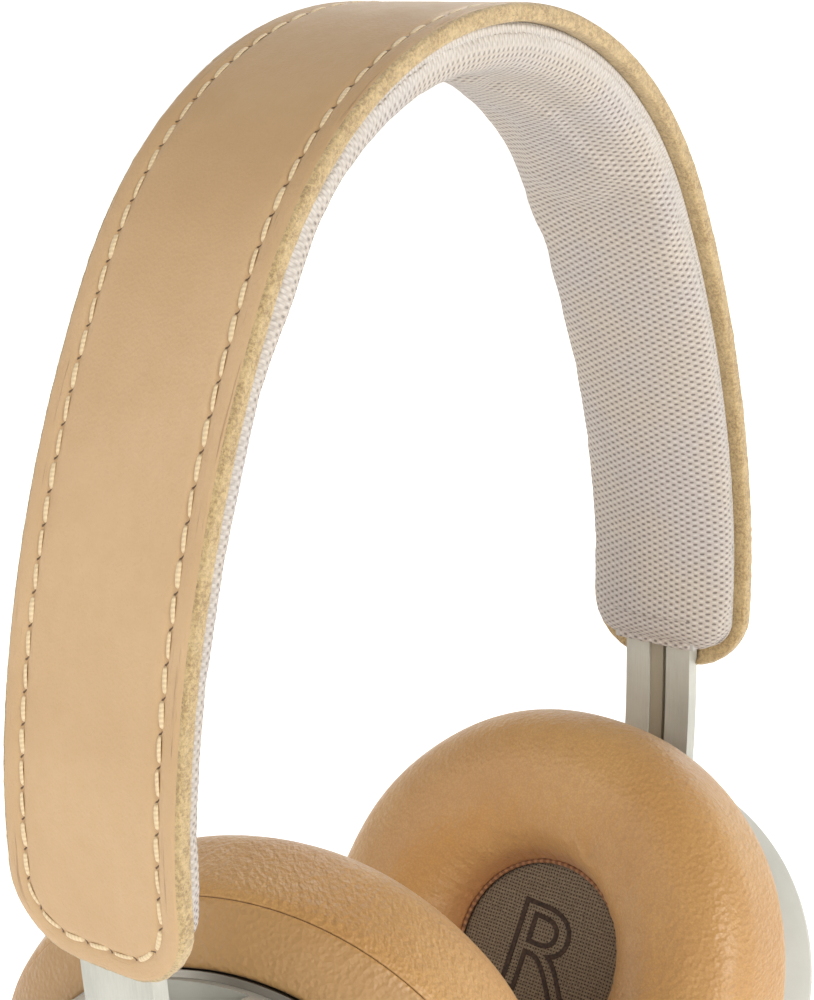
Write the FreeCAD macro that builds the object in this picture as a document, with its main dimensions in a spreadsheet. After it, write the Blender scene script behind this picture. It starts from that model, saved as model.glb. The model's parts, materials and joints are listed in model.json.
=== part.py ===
import FreeCAD, Part
import math
import os

import Sketcher
from FreeCAD import Placement, Rotation, Vector

# Over-ear headphones with a leather-covered sprung headband, sliding arms and gimballed cups.
# Row frame: +Z up, +X towards the wearer's left ear, +Y towards the back of the head.
# The origin is the middle of the headband pad's underside at the crown, which rests on the head.
# Each cup is drawn in its own frame: +X outwards from the ear, +Z up, origin in the plane where
# the ear pad is widest, and then placed.  Each arm is drawn in the row frame for the left side.

SIZES = {
    # headband layers, from the outside in
    "strap_width": 32, "strap_thick": 2.6, "strap_corner": 11.5,
    "lining_width": 30.4, "lining_thick": 0.8, "spring_width": 13, "spring_thick": 0.8,
    "pad_half_width": 13.4, "pad_thick": 6.8, "pad_end_gap": 4.5,
    # side view of the strap's outer face: three tangent arcs each side of the crown
    "crown_radius": 62.9, "crown_angle": 60.4, "shoulder_radius": 168, "shoulder_angle": 81,
    "leg_radius": 108, "leg_angle": 99.36,
    # arms
    "arm_width": 13.4, "arm_thick": 2.8, "arm_middle": 71.2, "arm_top": -81, "arm_bend_top": -103.5,
    "arm_bend_radius": 150, "arm_lean": 17.5, "arm_tail": 11, "groove_width": 3.6, "groove_depth": 1.3,
    "strip_width": 2.7, "strip_thick": 0.9, "right_extended": 12.3, "stop_thick": 1.6,
    "guide_wall": 1.5, "guide_lip": 1.2, "guide_above": 3.4, "guide_bottom": -107.3,
    "slot_gap": 0.06, "mouth_relief": 0.7, "mouth_top": -104, "arm_lowest": -125,
    # gimbal between arm and cup
    "eye_radius": 12.5, "eye_bore": 9.6, "eye_inside": 2.4, "eye_outside": 3.2, "cap_radius": 12.3,
    "cap_rim": 1.2, "cap_room": 2.2, "cap_thick": 1.0,
    "gimbal_radius": 9.1, "gimbal_bore": 6, "gimbal_thick": 4, "pin_radius": 1.5, "pin_clearance": 0.05,
    "post_radius": 4.4, "post_top": 2.4, "pivot_depth": 34.5,
    # ear pad and mesh
    "pad_radius": 44.3, "pad_front": 10, "pad_seam_depth": 12, "pad_seam_radius": 43.3,
    "skirt_depth": 18.4, "skirt_radius": 35.2, "pad_hole": 17.2, "pad_back": 9, "pad_back_radius": 34.2,
    "mesh_depth": 2.2, "mesh_thick": 0.8,
    # cup shells
    "bezel_front": 18.6, "housing_front": 20.2, "housing_front_radius": 34.4, "housing_radius": 38.5,
    "housing_widest": 32, "housing_back": 36.5, "housing_edge": 34.2, "wall": 1.8,
    "pit_radius": 17, "channel_half": 10.5, "pit_floor": 22.5, "pit_wall": 1.4, "plate_radius": 33.2,
    "plate_thick": 1.0, "plate_sunk": 0.8,
    "baffle_front": 9.3, "baffle_thick": 2, "baffle_radius": 33.4, "screw_circle": 27,
    # sockets and buttons
    "jack_bore": 1.78, "jack_length": 14, "button_radius": 2.6, "button_proud": 0.8,
}

# Rest pose of each cup on its arm, in degrees from the middle of the travel.
LEFT_SWIVEL, LEFT_TILT = 16.9, 9.3
RIGHT_SWIVEL, RIGHT_TILT = 3.2, -10.2

doc = FreeCAD.newDocument("headphones")
sheet = doc.addObject("Spreadsheet::Sheet", "sizes")
for row, (alias, number) in enumerate(SIZES.items(), start=1):
    sheet.set("A%d" % row, alias)
    sheet.set("B%d" % row, str(number))
    sheet.setAlias("B%d" % row, alias)
doc.recompute()


class Size:
    """A number that remembers the sheet expression it comes from, so a feature can be bound to it."""

    def __init__(self, value, text=None):
        self.value = float(value)
        self.text = text or repr(float(value))

    def __add__(self, other):
        other = as_size(other)
        return Size(self.value + other.value, "(%s + %s)" % (self.text, other.text))

    def __sub__(self, other):
        other = as_size(other)
        return Size(self.value - other.value, "(%s - %s)" % (self.text, other.text))

    def __mul__(self, other):
        other = as_size(other)
        return Size(self.value * other.value, "(%s * %s)" % (self.text, other.text))

    def __neg__(self):
        return Size(-self.value, "(-1 * %s)" % self.text)

    def __rsub__(self, other):
        return as_size(other) - self

    __radd__ = __add__
    __rmul__ = __mul__


def as_size(number):
    return number if isinstance(number, Size) else Size(number)


def sine(angle):
    return Size(math.sin(math.radians(angle.value)), "sin(%s)" % angle.text)


def cosine(angle):
    return Size(math.cos(math.radians(angle.value)), "cos(%s)" % angle.text)


class Sizes:
    """The sheet's cells as Size objects: d.strap_width and so on."""

    def __getattr__(self, alias):
        return Size(sheet.get(alias), "sizes.%s" % alias)


d = Sizes()
made = []
TURN_ROUND = Rotation(Vector(0, 0, 1), 180)


def bind(thing, prop, size):
    thing.setExpression(prop, as_size(size).text)


def sub_part(thing, label, placement=None):
    """Names a finished piece and puts it in its place."""
    thing.Label = label
    if placement is not None:
        thing.Placement = placement
    made.append(thing)
    return thing


# ---------------------------------------------------------------- drawing helpers

def arc_middle(a, b, radius, side):
    """Middle point of the shorter arc from a to b that bulges to the left (+1) or right (-1)."""
    chord = b - a
    rise = radius - math.sqrt(max(radius * radius - chord.Length ** 2 / 4, 0))
    across = Vector(-chord.y, chord.x, 0).normalize()
    return (a + b) * 0.5 + across * rise * side


def draw(body, role, corners):
    """A closed sketch on one of the body's origin planes, every corner and radius bound to the sheet.
    A corner is (x, y), or (x, y, radius, side) when an arc leads from it to the next corner."""
    sketch = body.newObject("Sketcher::SketchObject", body.Name + "_sketch")
    plane = [f for f in body.Origin.OriginFeatures if f.Role == role][0]
    sketch.AttachmentSupport = [(plane, "")]
    sketch.MapMode = "FlatFace"
    spots = [Vector(as_size(c[0]).value, as_size(c[1]).value, 0) for c in corners]
    for i, corner in enumerate(corners):
        a, b = spots[i], spots[(i + 1) % len(spots)]
        if len(corner) == 4:
            middle = arc_middle(a, b, as_size(corner[2]).value, corner[3])
            arc = Part.Arc(b, middle, a) if corner[3] > 0 else Part.Arc(a, middle, b)
            sketch.addGeometry(arc, False)
        else:
            sketch.addGeometry(Part.LineSegment(a, b), False)
    ends = []
    for i in range(len(corners)):
        geometry = sketch.Geometry[i]
        forward = (geometry.StartPoint - spots[i]).Length < 1e-6
        ends.append((1, 2) if forward else (2, 1))
    for i, corner in enumerate(corners):
        j = (i + 1) % len(corners)
        sketch.addConstraint(Sketcher.Constraint("Coincident", i, ends[i][1], j, ends[j][0]))
    for i, corner in enumerate(corners):
        for kind, number in (("DistanceX", corner[0]), ("DistanceY", corner[1])):
            c = Sketcher.Constraint(kind, -1, 1, i, ends[i][0], as_size(number).value)
            index = sketch.addConstraint(c)
            bind(sketch, "Constraints[%d]" % index, number)
        if len(corner) == 4:
            index = sketch.addConstraint(Sketcher.Constraint("Radius", i, as_size(corner[2]).value))
            bind(sketch, "Constraints[%d]" % index, corner[2])
    return sketch


def extruded(name, role, corners, width):
    """A body padded both ways from one of its origin planes."""
    body = doc.addObject("PartDesign::Body", name)
    sketch = draw(body, role, corners)
    pad = body.newObject("PartDesign::Pad", name + "_pad")
    pad.Profile = sketch
    pad.SideType = "Symmetric"
    bind(pad, "Length", width)
    sketch.Visibility = False
    return body


def turned(name, corners):
    """A body revolved about its own X axis.  Corners are (along the axis, radius)."""
    body = doc.addObject("PartDesign::Body", name)
    sketch = draw(body, "XZ_Plane", corners)
    turn = body.newObject("PartDesign::Revolution", name + "_turn")
    turn.Profile = sketch
    turn.ReferenceAxis = (sketch, ["H_Axis"])
    return body


def cylinder(name, radius, length, start=(0, 0, 0), along=(1, 0, 0)):
    """A cylinder whose base centre is at start and which runs along the given direction."""
    c = doc.addObject("Part::Cylinder", name)
    bind(c, "Radius", radius)
    bind(c, "Height", length)
    where = Vector(*[as_size(v).value for v in start])
    c.Placement = Placement(where, Rotation(Vector(0, 0, 1), Vector(*along)))
    return c


def block(name, low, high):
    """A box between two opposite corners."""
    b = doc.addObject("Part::Box", name)
    for prop, lo, hi in zip(("Length", "Width", "Height"), low, high):
        bind(b, prop, as_size(hi) - as_size(lo))
    b.Placement.Base = Vector(*[as_size(v).value for v in low])
    return b


def cut(name, base, *tools):
    tool = tools[0] if len(tools) == 1 else joined(name + "_tools", *tools)
    c = doc.addObject("Part::Cut", name)
    c.Base, c.Tool = base, tool
    return c


def joined(name, *things):
    f = doc.addObject("Part::MultiFuse", name)
    f.Shapes = list(things)
    return f


def common(name, a, b):
    c = doc.addObject("Part::Common", name)
    c.Base, c.Tool = a, b
    return c


# ---------------------------------------------------------------- headband

STACK = d.strap_thick + d.lining_thick + d.spring_thick + d.pad_thick
ALL_ARCS, SHORT = 3, 2


def band_joints(depth):
    """Where the band's arcs meet, at a depth below its outer face: crown, two tangent points, end.
    The arcs keep their centres, so each layer has the radii of the one outside it less its depth."""
    angles = (Size(0), d.crown_angle, d.shoulder_angle, d.leg_angle)
    radii = (d.crown_radius, d.shoulder_radius, d.leg_radius)
    across, up = Size(0), STACK - d.crown_radius
    points = [(Size(0), STACK - depth)]
    for i, radius in enumerate(radii):
        turn = angles[i + 1]
        points.append((across + (radius - depth) * sine(turn), up + (radius - depth) * cosine(turn)))
        if i < 2:
            across = across + (radius - radii[i + 1]) * sine(turn)
            up = up + (radius - radii[i + 1]) * cosine(turn)
    return points, [radius - depth for radius in radii]


def band_layer(name, outer_depth, inner_depth, width, keep=ALL_ARCS):
    """One layer of the headband: its side view between two depths, padded to its width.
    It follows the band's arcs from the crown, all of them or only the first few on each side."""
    outer, outer_radii = band_joints(outer_depth)
    inner, inner_radii = band_joints(inner_depth)
    corners = []
    for i in range(keep):
        corners.append(outer[i] + (outer_radii[i], 1))
    corners.append(outer[keep])
    for i in range(keep, 0, -1):
        corners.append(inner[i] + (inner_radii[i - 1], -1))
    corners.append(inner[0])
    body = extruded(name, "XZ_Plane", corners, width)
    mirror = body.newObject("PartDesign::Mirrored", name + "_mirror")
    mirror.Originals = [body.Group[1]]
    plane = [f for f in body.Origin.OriginFeatures if f.Role == "YZ_Plane"][0]
    mirror.MirrorPlane = (plane, [""])
    body.Tip = mirror
    return body


def end_trim(name, half_width, bottom, corner):
    """A tall slab with two rounded lower corners: what it covers of a layer is that layer's outline."""
    top = STACK + 5
    corners = [
        (-half_width, top),
        (-half_width, bottom + corner, corner, -1),
        (-half_width + corner, bottom),
        (half_width - corner, bottom, corner, -1),
        (half_width, bottom + corner),
        (half_width, top),
    ]
    return extruded(name, "YZ_Plane", corners, Size(200))


def build_headband():
    band_end = band_joints(Size(0))[0][3][1]
    depth = d.strap_thick
    strap = band_layer("strap_layer", Size(0), depth, d.strap_width)
    trim = end_trim("strap_outline", d.strap_width * 0.5, band_end, d.strap_corner)
    lanes = both_sides("arm_lane", arm_lane)
    sub_part(cut("leather_strap", common("strap", strap, trim), *lanes), "leather_strap")

    lining = band_layer("lining_layer", depth, depth + d.lining_thick, d.lining_width)
    lining_end = band_end + 2.2
    trim = end_trim("lining_outline", d.lining_width * 0.5, lining_end, d.strap_corner)
    rooms = both_sides("lining_room", guide_room, Size(0.15))
    sub_part(cut("headband_lining", common("lining", lining, trim), *rooms), "headband_lining")

    depth = depth + d.lining_thick
    spring = band_layer("spring_layer", depth, depth + d.spring_thick, d.spring_width, SHORT)
    rooms = both_sides("spring_room", guide_room, Size(0.15))
    sub_part(cut("spring_band", spring, *rooms), "spring_band")

    depth = depth + d.spring_thick
    pad = padded_band("band_pad", depth)
    pad_end = band_end + d.pad_end_gap
    trim = end_trim("pad_outline", d.pad_half_width + 1, pad_end, Size(8))
    rooms = both_sides("pad_room", guide_room, Size(0.3))
    sub_part(cut("headband_pad", common("band_cushion", pad, trim), *rooms), "headband_pad")
    build_headband_cable(depth)


def padded_band(name, depth):
    """The cushion: a D-shaped section, flat against the layers above, swept down one side and mirrored."""
    body = doc.addObject("PartDesign::Body", name)
    top = STACK - depth
    half, belly, flank = d.pad_half_width, d.pad_thick, Size(3.2)
    profile = draw(body, "YZ_Plane", [
        (-half, top), (half, top), (half, top - flank * 0.5, Size(6.4), -1),
        (half * 0.55, top - belly, Size(60), -1), (-half * 0.55, top - belly, Size(6.4), -1),
        (-half, top - flank * 0.5),
    ])
    points, radii = band_joints(depth)
    path = body.newObject("Sketcher::SketchObject", name + "_path")
    plane = [f for f in body.Origin.OriginFeatures if f.Role == "XZ_Plane"][0]
    path.AttachmentSupport = [(plane, "")]
    path.MapMode = "FlatFace"
    spots = [Vector(p[0].value, p[1].value, 0) for p in points]
    for i in range(3):
        middle = arc_middle(spots[i], spots[i + 1], radii[i].value, 1)
        path.addGeometry(Part.Arc(spots[i + 1], middle, spots[i]), False)
    pipe = body.newObject("PartDesign::AdditivePipe", name + "_sweep")
    pipe.Profile = profile
    pipe.Spine = (path, [""])
    doc.recompute()
    mirror = body.newObject("PartDesign::Mirrored", name + "_mirror")
    mirror.Originals = [pipe]
    side = [f for f in body.Origin.OriginFeatures if f.Role == "YZ_Plane"][0]
    mirror.MirrorPlane = (side, [""])
    body.Tip = mirror
    return body


def build_headband_cable(depth):
    """Flat cable that carries the signal from one cup to the other, beside the spring band."""
    cable = band_layer("cable_layer", depth - d.spring_thick + 0.1, depth - 0.1, Size(2.4), SHORT)
    cable.Placement.Base = Vector(0, (d.spring_width.value / 2) + 2.2, 0)
    rooms = both_sides("cable_room", guide_room, Size(0.15))
    sub_part(cut("cable", cable, *rooms), "headband_cable")


def both_sides(name, make, *sizes):
    """The same tool on the left side and, turned half round, on the right."""
    pair = [make("%s_%s" % (side, name), *sizes) for side in ("left", "right")]
    pair[1].Placement = Placement(Vector(), TURN_ROUND) * pair[1].Placement
    return pair


def guide_box(name, gap, bottom):
    """The space of the left arm guide, grown by a gap all round, down to a given height."""
    inner = d.arm_middle - d.arm_thick * 0.5 - d.guide_wall - gap
    outer = d.arm_middle + d.arm_thick * 0.5 + d.guide_lip + gap
    half = d.arm_width * 0.5 + d.guide_wall + gap
    return block(name, (inner, -half, bottom), (outer, half, d.arm_top + d.guide_above + gap))


def guide_room(name, gap):
    """What the layers of the band leave free for the guide and for the arm below it."""
    return guide_box(name, gap, d.arm_lowest)


def arm_lane(name):
    """The shallow relief inside the end of the strap, past which the straight arm slides."""
    outer = d.arm_middle + d.arm_thick * 0.5 + 0.35
    half = d.arm_width * 0.5 + 0.3
    return block(name, (d.arm_middle, -half, d.arm_lowest), (outer, half, d.arm_top + d.guide_above))


def build_guide(side):
    """A channel sewn inside the band end, in which the arm slides.  The strap closes its outer side."""
    where = Placement(Vector(), TURN_ROUND) if side == "right" else Placement()
    blank = guide_box(side + "_guide_blank", Size(0), d.guide_bottom)
    layers = band_layer(side + "_guide_limit", d.strap_thick + 0.1, STACK - 1, d.strap_width)
    inner = d.arm_middle - d.arm_thick * 0.5 - d.slot_gap
    half = d.arm_width * 0.5 + d.slot_gap
    slot = block(side + "_guide_slot", (inner, -half, d.arm_lowest),
                 (inner + 20, half, d.arm_top + d.stop_thick + 0.4))
    mouth = block(side + "_guide_mouth", (inner - d.mouth_relief, -half, d.arm_lowest),
                  (inner + 3, half, d.mouth_top))
    body = common(side + "_guide_body", blank, layers)
    sub_part(cut(side + "_guide", body, slot, mouth), side + "_arm_guide", where)


# ---------------------------------------------------------------- arms

def arm_ribbon(name, depth_in, depth_out, width, top):
    """A strip that follows the arm between two depths measured from its middle surface outwards:
    straight down through the guide, a long inward bend, then a short straight tail."""
    lean, radius, middle = d.arm_lean, d.arm_bend_radius, d.arm_middle
    cx, cz = middle - radius, d.arm_bend_top

    def on_bend(angle, out):
        return cx + (radius + out) * cosine(angle), cz - (radius + out) * sine(angle)

    def tail_end(out):
        x, z = on_bend(lean, out)
        return x - d.arm_tail * sine(lean), z - d.arm_tail * cosine(lean)

    corners = [
        (middle + depth_in, top),
        (middle + depth_out, top),
        (middle + depth_out, cz, radius + depth_out, 1),
        on_bend(lean, depth_out),
        tail_end(depth_out),
        tail_end(depth_in),
        on_bend(lean, depth_in) + (radius + depth_in, -1),
        (middle + depth_in, cz),
    ]
    return extruded(name, "XZ_Plane", corners, width)


def pivot_point():
    """Centre of the gimbal of the left arm."""
    lean, reach = math.radians(d.arm_lean.value), d.arm_tail.value
    x = d.arm_middle.value - d.arm_bend_radius.value * (1 - math.cos(lean)) - reach * math.sin(lean)
    z = d.arm_bend_top.value - d.arm_bend_radius.value * math.sin(lean) - reach * math.cos(lean)
    return Vector(x, 0, z)


def arm_frame(side):
    """Placement of the arm end's frame: origin at the gimbal's centre, +X outwards, +Z up the arm."""
    frame = Placement(pivot_point(), Rotation(Vector(0, 1, 0), d.arm_lean.value))
    return arm_place(side) * frame


def arm_place(side):
    if side == "left":
        return Placement()
    return Placement(Vector(0, 0, -d.right_extended.value), TURN_ROUND)


def build_arm(side):
    place = arm_place(side)
    end = Placement(pivot_point(), Rotation(Vector(0, 1, 0), d.arm_lean.value))
    half = d.arm_thick * 0.5
    ribbon = arm_ribbon(side + "_arm_ribbon", -half, half, d.arm_width, d.arm_top)
    eye = cylinder(side + "_eye", d.eye_radius, d.eye_inside + d.eye_outside, (-d.eye_inside, 0, 0))
    bore = cylinder(side + "_eye_bore", d.eye_bore, Size(20), (-10, 0, 0))
    pins = cylinder(side + "_pin_hole", d.pin_radius, Size(24.2), (0, 0, -12.1), (0, 0, 1))
    for thing in (eye, bore, pins):
        thing.Placement = end * thing.Placement
    floor = d.groove_depth - half
    groove = arm_ribbon(side + "_groove", -half - 3, floor, d.groove_width, d.arm_top + 1)
    keep_eye = cylinder(side + "_groove_keep", d.eye_radius + 1.5, Size(20), (-10, 0, 0))
    keep_eye.Placement = end * keep_eye.Placement
    groove = cut(side + "_groove_run", groove, keep_eye)
    solid = joined(side + "_arm_solid", ribbon, eye)
    sub_part(cut(side + "_arm_cut", solid, groove, bore, pins), side + "_arm", place)

    strip = arm_ribbon(side + "_strip_run", floor - d.strip_thick, floor, d.strip_width, d.arm_top)
    shift = (d.groove_width.value - d.strip_width.value) / 2
    strip.Placement.Base = Vector(0, shift, 0)
    stop = cylinder(side + "_strip_keep", d.eye_radius + 1.8, Size(20), (-10, 0, 0))
    stop.Placement = end * stop.Placement
    sub_part(cut(side + "_strip_cut", strip, stop), side + "_arm_cable_strip", place)

    frame = arm_frame(side)
    rim, roof = d.eye_outside + d.cap_rim, d.eye_outside + d.cap_room
    cap = turned(side + "_cap_disc", [
        (d.eye_outside, d.eye_bore), (d.eye_outside, d.cap_radius), (rim, d.cap_radius),
        (roof + d.cap_thick, d.cap_radius - 1.7), (roof + d.cap_thick, Size(0)),
        (roof, Size(0)), (roof, d.eye_bore),
    ])
    sub_part(cap, side + "_arm_cap", frame)
    pin = cylinder(side + "_upper_pin", d.pin_radius, Size(4.2), (0, 0, 7.7), (0, 0, 1))
    low = cylinder(side + "_lower_pin", d.pin_radius, Size(4.2), (0, 0, -11.9), (0, 0, 1))
    sub_part(compound(side + "_swivel_pins", pin, low), side + "_swivel_pins", frame)
    stop_plate = block(side + "_stop", (d.arm_middle - 1.3, Size(-6.2), d.arm_top),
                       (d.arm_middle + 1.0, Size(6.2), d.arm_top + d.stop_thick))
    sub_part(stop_plate, side + "_stop_plate", place * stop_plate.Placement)


def compound(name, *things):
    c = doc.addObject("Part::Compound", name)
    c.Links = list(things)
    return c


# ---------------------------------------------------------------- gimbal

def gimbal_frame(side):
    swivel = LEFT_SWIVEL if side == "left" else -RIGHT_SWIVEL
    return arm_frame(side) * Placement(Vector(), Rotation(Vector(0, 0, 1), swivel))


def cup_frame(side):
    tilt = LEFT_TILT if side == "left" else RIGHT_TILT
    hinge = Placement(Vector(), Rotation(Vector(0, 1, 0), -tilt))
    return gimbal_frame(side) * hinge * Placement(Vector(-d.pivot_depth.value, 0, 0), Rotation())


def build_gimbal(side):
    frame = gimbal_frame(side)
    thick = d.gimbal_thick
    ring = cylinder(side + "_gimbal_disc", d.gimbal_radius, thick, (-thick * 0.5, 0, 0))
    bore = cylinder(side + "_gimbal_hole", d.gimbal_bore, thick + 2, (-thick * 0.5 - 1, 0, 0))
    swivel = cylinder(side + "_swivel_hole", d.pin_radius + d.pin_clearance, Size(24),
                      (0, 0, -12), (0, 0, 1))
    tilt = cylinder(side + "_tilt_hole", d.pin_radius, Size(24), (0, -12, 0), (0, 1, 0))
    sub_part(cut(side + "_gimbal", ring, bore, swivel, tilt), side + "_gimbal_ring", frame)
    back = cylinder(side + "_back_pin", d.pin_radius, Size(6.2), (0, 2.7, 0), (0, 1, 0))
    front = cylinder(side + "_front_pin", d.pin_radius, Size(6.2), (0, -8.9, 0), (0, 1, 0))
    sub_part(compound(side + "_tilt_pins", back, front), side + "_tilt_pins", frame)


# ---------------------------------------------------------------- cups

def pit(name, grow, floor, back):
    """The round pit and the channel above it that the arm lies in, as one tool."""
    well = cylinder(name + "_well", d.pit_radius + grow, back - floor, (floor, 0, 0))
    half = d.channel_half + grow
    lane = block(name + "_lane", (floor, -half, Size(0)), (back, half, Size(45)))
    return joined(name, well, lane)


def screw_spots():
    for angle in (38, 142, 218, 322):
        yield math.cos(math.radians(angle)), math.sin(math.radians(angle))


def screw_columns(name, radius, start, length):
    reach = d.screw_circle.value
    return [cylinder("%s%d" % (name, i), radius, length, (start, reach * c, reach * s))
            for i, (c, s) in enumerate(screw_spots())]


def build_housing(side, frame, wall_holes):
    front, back, wall = d.housing_front, d.housing_back, d.wall
    outer = turned(side + "_bowl", [
        (front, Size(0)), (front, d.housing_front_radius, Size(30), 1),
        (d.housing_widest, d.housing_radius, Size(5), 1),
        (back, d.housing_edge), (back, Size(0)),
    ])
    cavity = turned(side + "_bowl_inside", [
        (front - 1, Size(0)), (front - 1, d.housing_front_radius - wall),
        (front, d.housing_front_radius - wall, Size(30), 1),
        (d.housing_widest, d.housing_radius - wall, Size(4), 1),
        (back - wall, d.housing_edge - 1), (back - wall, Size(0)),
    ])
    tub = pit(side + "_tub", d.pit_wall, d.pit_floor - d.pit_wall, back)
    tub = common(side + "_tub_walls", tub, outer)
    columns = screw_columns(side + "_column", Size(2.4), d.baffle_front + d.baffle_thick + 0.1,
                            back - wall - d.baffle_front - d.baffle_thick)
    shell = cut(side + "_shell", outer, cavity)
    solid = joined(side + "_shell_solid", shell, tub, *columns)
    seat = back - d.plate_sunk
    recess = cylinder(side + "_plate_recess", d.plate_radius + 0.1, Size(5), (seat, 0, 0))
    holes = screw_columns(side + "_thread", Size(0.95), d.baffle_front, Size(12))
    hollow = pit(side + "_pit", Size(0), d.pit_floor, back + 5)
    sub_part(cut(side + "_housing_cut", solid, recess, hollow, *(holes + wall_holes)),
             side + "_housing", frame)

    plate = cylinder(side + "_plate_disc", d.plate_radius, d.plate_thick, (seat, 0, 0))
    opening = pit(side + "_plate_opening", Size(0), d.pit_floor, back + 5)
    sub_part(cut(side + "_plate", plate, opening), side + "_outer_plate", frame)


def build_acoustics(side, frame):
    """Bezel, baffle, driver, mesh and ear pad, from the housing towards the ear."""
    front, bezel = d.housing_front, d.bezel_front
    ring = turned(side + "_bezel_ring", [
        (front - 0.05, Size(31)), (front - 0.05, d.housing_front_radius),
        (bezel + 0.8, d.skirt_radius), (bezel, d.skirt_radius - 0.5),
        (bezel, Size(33.9)), (d.baffle_front + d.baffle_thick + 0.1, Size(33.9)),
        (d.baffle_front + d.baffle_thick + 0.1, Size(32.2)), (bezel, Size(32.2)), (bezel, Size(31)),
    ])
    sub_part(ring, side + "_bezel", frame)

    disc = cylinder(side + "_baffle_disc", d.baffle_radius, d.baffle_thick, (d.baffle_front, 0, 0))
    port = cylinder(side + "_baffle_port", Size(15), Size(10), (5, 0, 0))
    holes = screw_columns(side + "_baffle_hole", Size(1.2), Size(5), Size(10))
    heads = screw_columns(side + "_baffle_bore", Size(2.1), Size(5), d.baffle_front + 1.3 - 5)
    sub_part(cut(side + "_baffle_cut", disc, port, *(holes + heads)), side + "_baffle", frame)
    screws = []
    for i, (c, s) in enumerate(screw_spots()):
        y, z = d.screw_circle.value * c, d.screw_circle.value * s
        head = cylinder("%s_head%d" % (side, i), Size(1.9), Size(1.1), (d.baffle_front + 0.15, y, z))
        shank = cylinder("%s_shank%d" % (side, i), Size(0.9), Size(8), (d.baffle_front + 0.5, y, z))
        screws.append(joined("%s_screw%d" % (side, i), head, shank))
    sub_part(compound(side + "_screws", *screws), side + "_baffle_screws", frame)

    back = d.baffle_front + d.baffle_thick
    basket = turned(side + "_basket", [
        (back + 0.05, Size(14.2)), (back + 0.05, Size(20)), (back + 2, Size(20)),
        (back + 2.6, Size(15.5)), (back + 7.4, Size(12.5)), (back + 7.4, Size(9.1)),
        (back + 6.2, Size(9.1)), (back + 6.2, Size(11.6)), (back + 2, Size(14.2)),
    ])
    sub_part(basket, side + "_driver_frame", frame)
    magnet = turned(side + "_magnet_pot", [
        (back + 3.4, Size(0)), (back + 3.4, Size(6.6)), (back + 6, Size(6.6)), (back + 6, Size(7.9)),
        (back + 3.4, Size(7.9)), (back + 3.4, Size(9)), (back + 8.4, Size(9)), (back + 8.4, Size(0)),
    ])
    sub_part(magnet, side + "_driver_magnet", frame)
    coil = turned(side + "_coil", [
        (back + 2.2, Size(6.95)), (back + 2.2, Size(7.5)), (back + 5.4, Size(7.5)),
        (back + 5.4, Size(6.95)),
    ])
    sub_part(coil, side + "_voice_coil", frame)
    diaphragm = turned(side + "_dome", [
        (back + 0.6, Size(0)), (back + 2.0, Size(7.4)), (back + 1.2, Size(14)), (back + 1.4, Size(14)),
        (back + 2.2, Size(7.4)), (back + 0.8, Size(0)),
    ])
    sub_part(diaphragm, side + "_diaphragm", frame)

    deep = d.mesh_depth + d.mesh_thick
    mesh = turned(side + "_mesh_cap", [
        (d.mesh_depth, Size(0)), (d.mesh_depth, d.pad_hole - 0.4), (d.baffle_front - 0.1, d.pad_hole - 0.4),
        (d.baffle_front - 0.1, d.pad_hole - 1.6), (deep, d.pad_hole - 1.6), (deep, Size(0)),
    ])
    sub_part(mesh, side + "_ear_mesh", frame)
    build_ear_pad(side, frame)


def build_ear_pad(side, frame):
    """A foam ring in leather: a small hole, a rounded face, a seam and a skirt tucked on the bezel."""
    face = -d.pad_front
    pad = turned(side + "_pad_ring", [
        (d.pad_back, d.pad_hole), (Size(-3), d.pad_hole, Size(22), 1),
        (face, d.pad_radius - 14.3, Size(10.65), 1),
        (Size(0), d.pad_radius, Size(80), 1),
        (d.pad_seam_depth, d.pad_seam_radius), (d.skirt_depth, d.skirt_radius),
        (d.skirt_depth, d.pad_back_radius), (d.pad_back, d.pad_back_radius),
    ])
    sub_part(pad, side + "_ear_pad", frame)


def radial(angle):
    """Unit direction in the cup's face at an angle from +Y towards +Z."""
    return (0, math.cos(math.radians(angle)), math.sin(math.radians(angle)))


def spoke(name, radius, angle, depth, start, end):
    """A cylinder that runs radially from one distance from the cup's axis to another."""
    way = radial(angle)
    begin = (depth, way[1] * start, way[2] * start)
    return cylinder(name, radius, Size(end - start), begin, way)


def build_button(name, side, frame, angle):
    """A round button in the cup's edge: a cap outside and a flange that keeps it in."""
    rim, depth = d.housing_radius.value, 29
    stem = spoke(name + "_stem", d.button_radius, angle, depth, rim - 4.4, rim + d.button_proud.value)
    flange = spoke(name + "_flange", d.button_radius + 0.5, angle, depth, rim - 4.9, rim - 4.2)
    sub_part(joined(name + "_body", stem, flange), name, frame)


def button_hole(name, angle):
    rim = d.housing_radius.value
    return spoke(name + "_hole", d.button_radius + 0.3, angle, 29, rim - 5, rim + 4)


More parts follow.
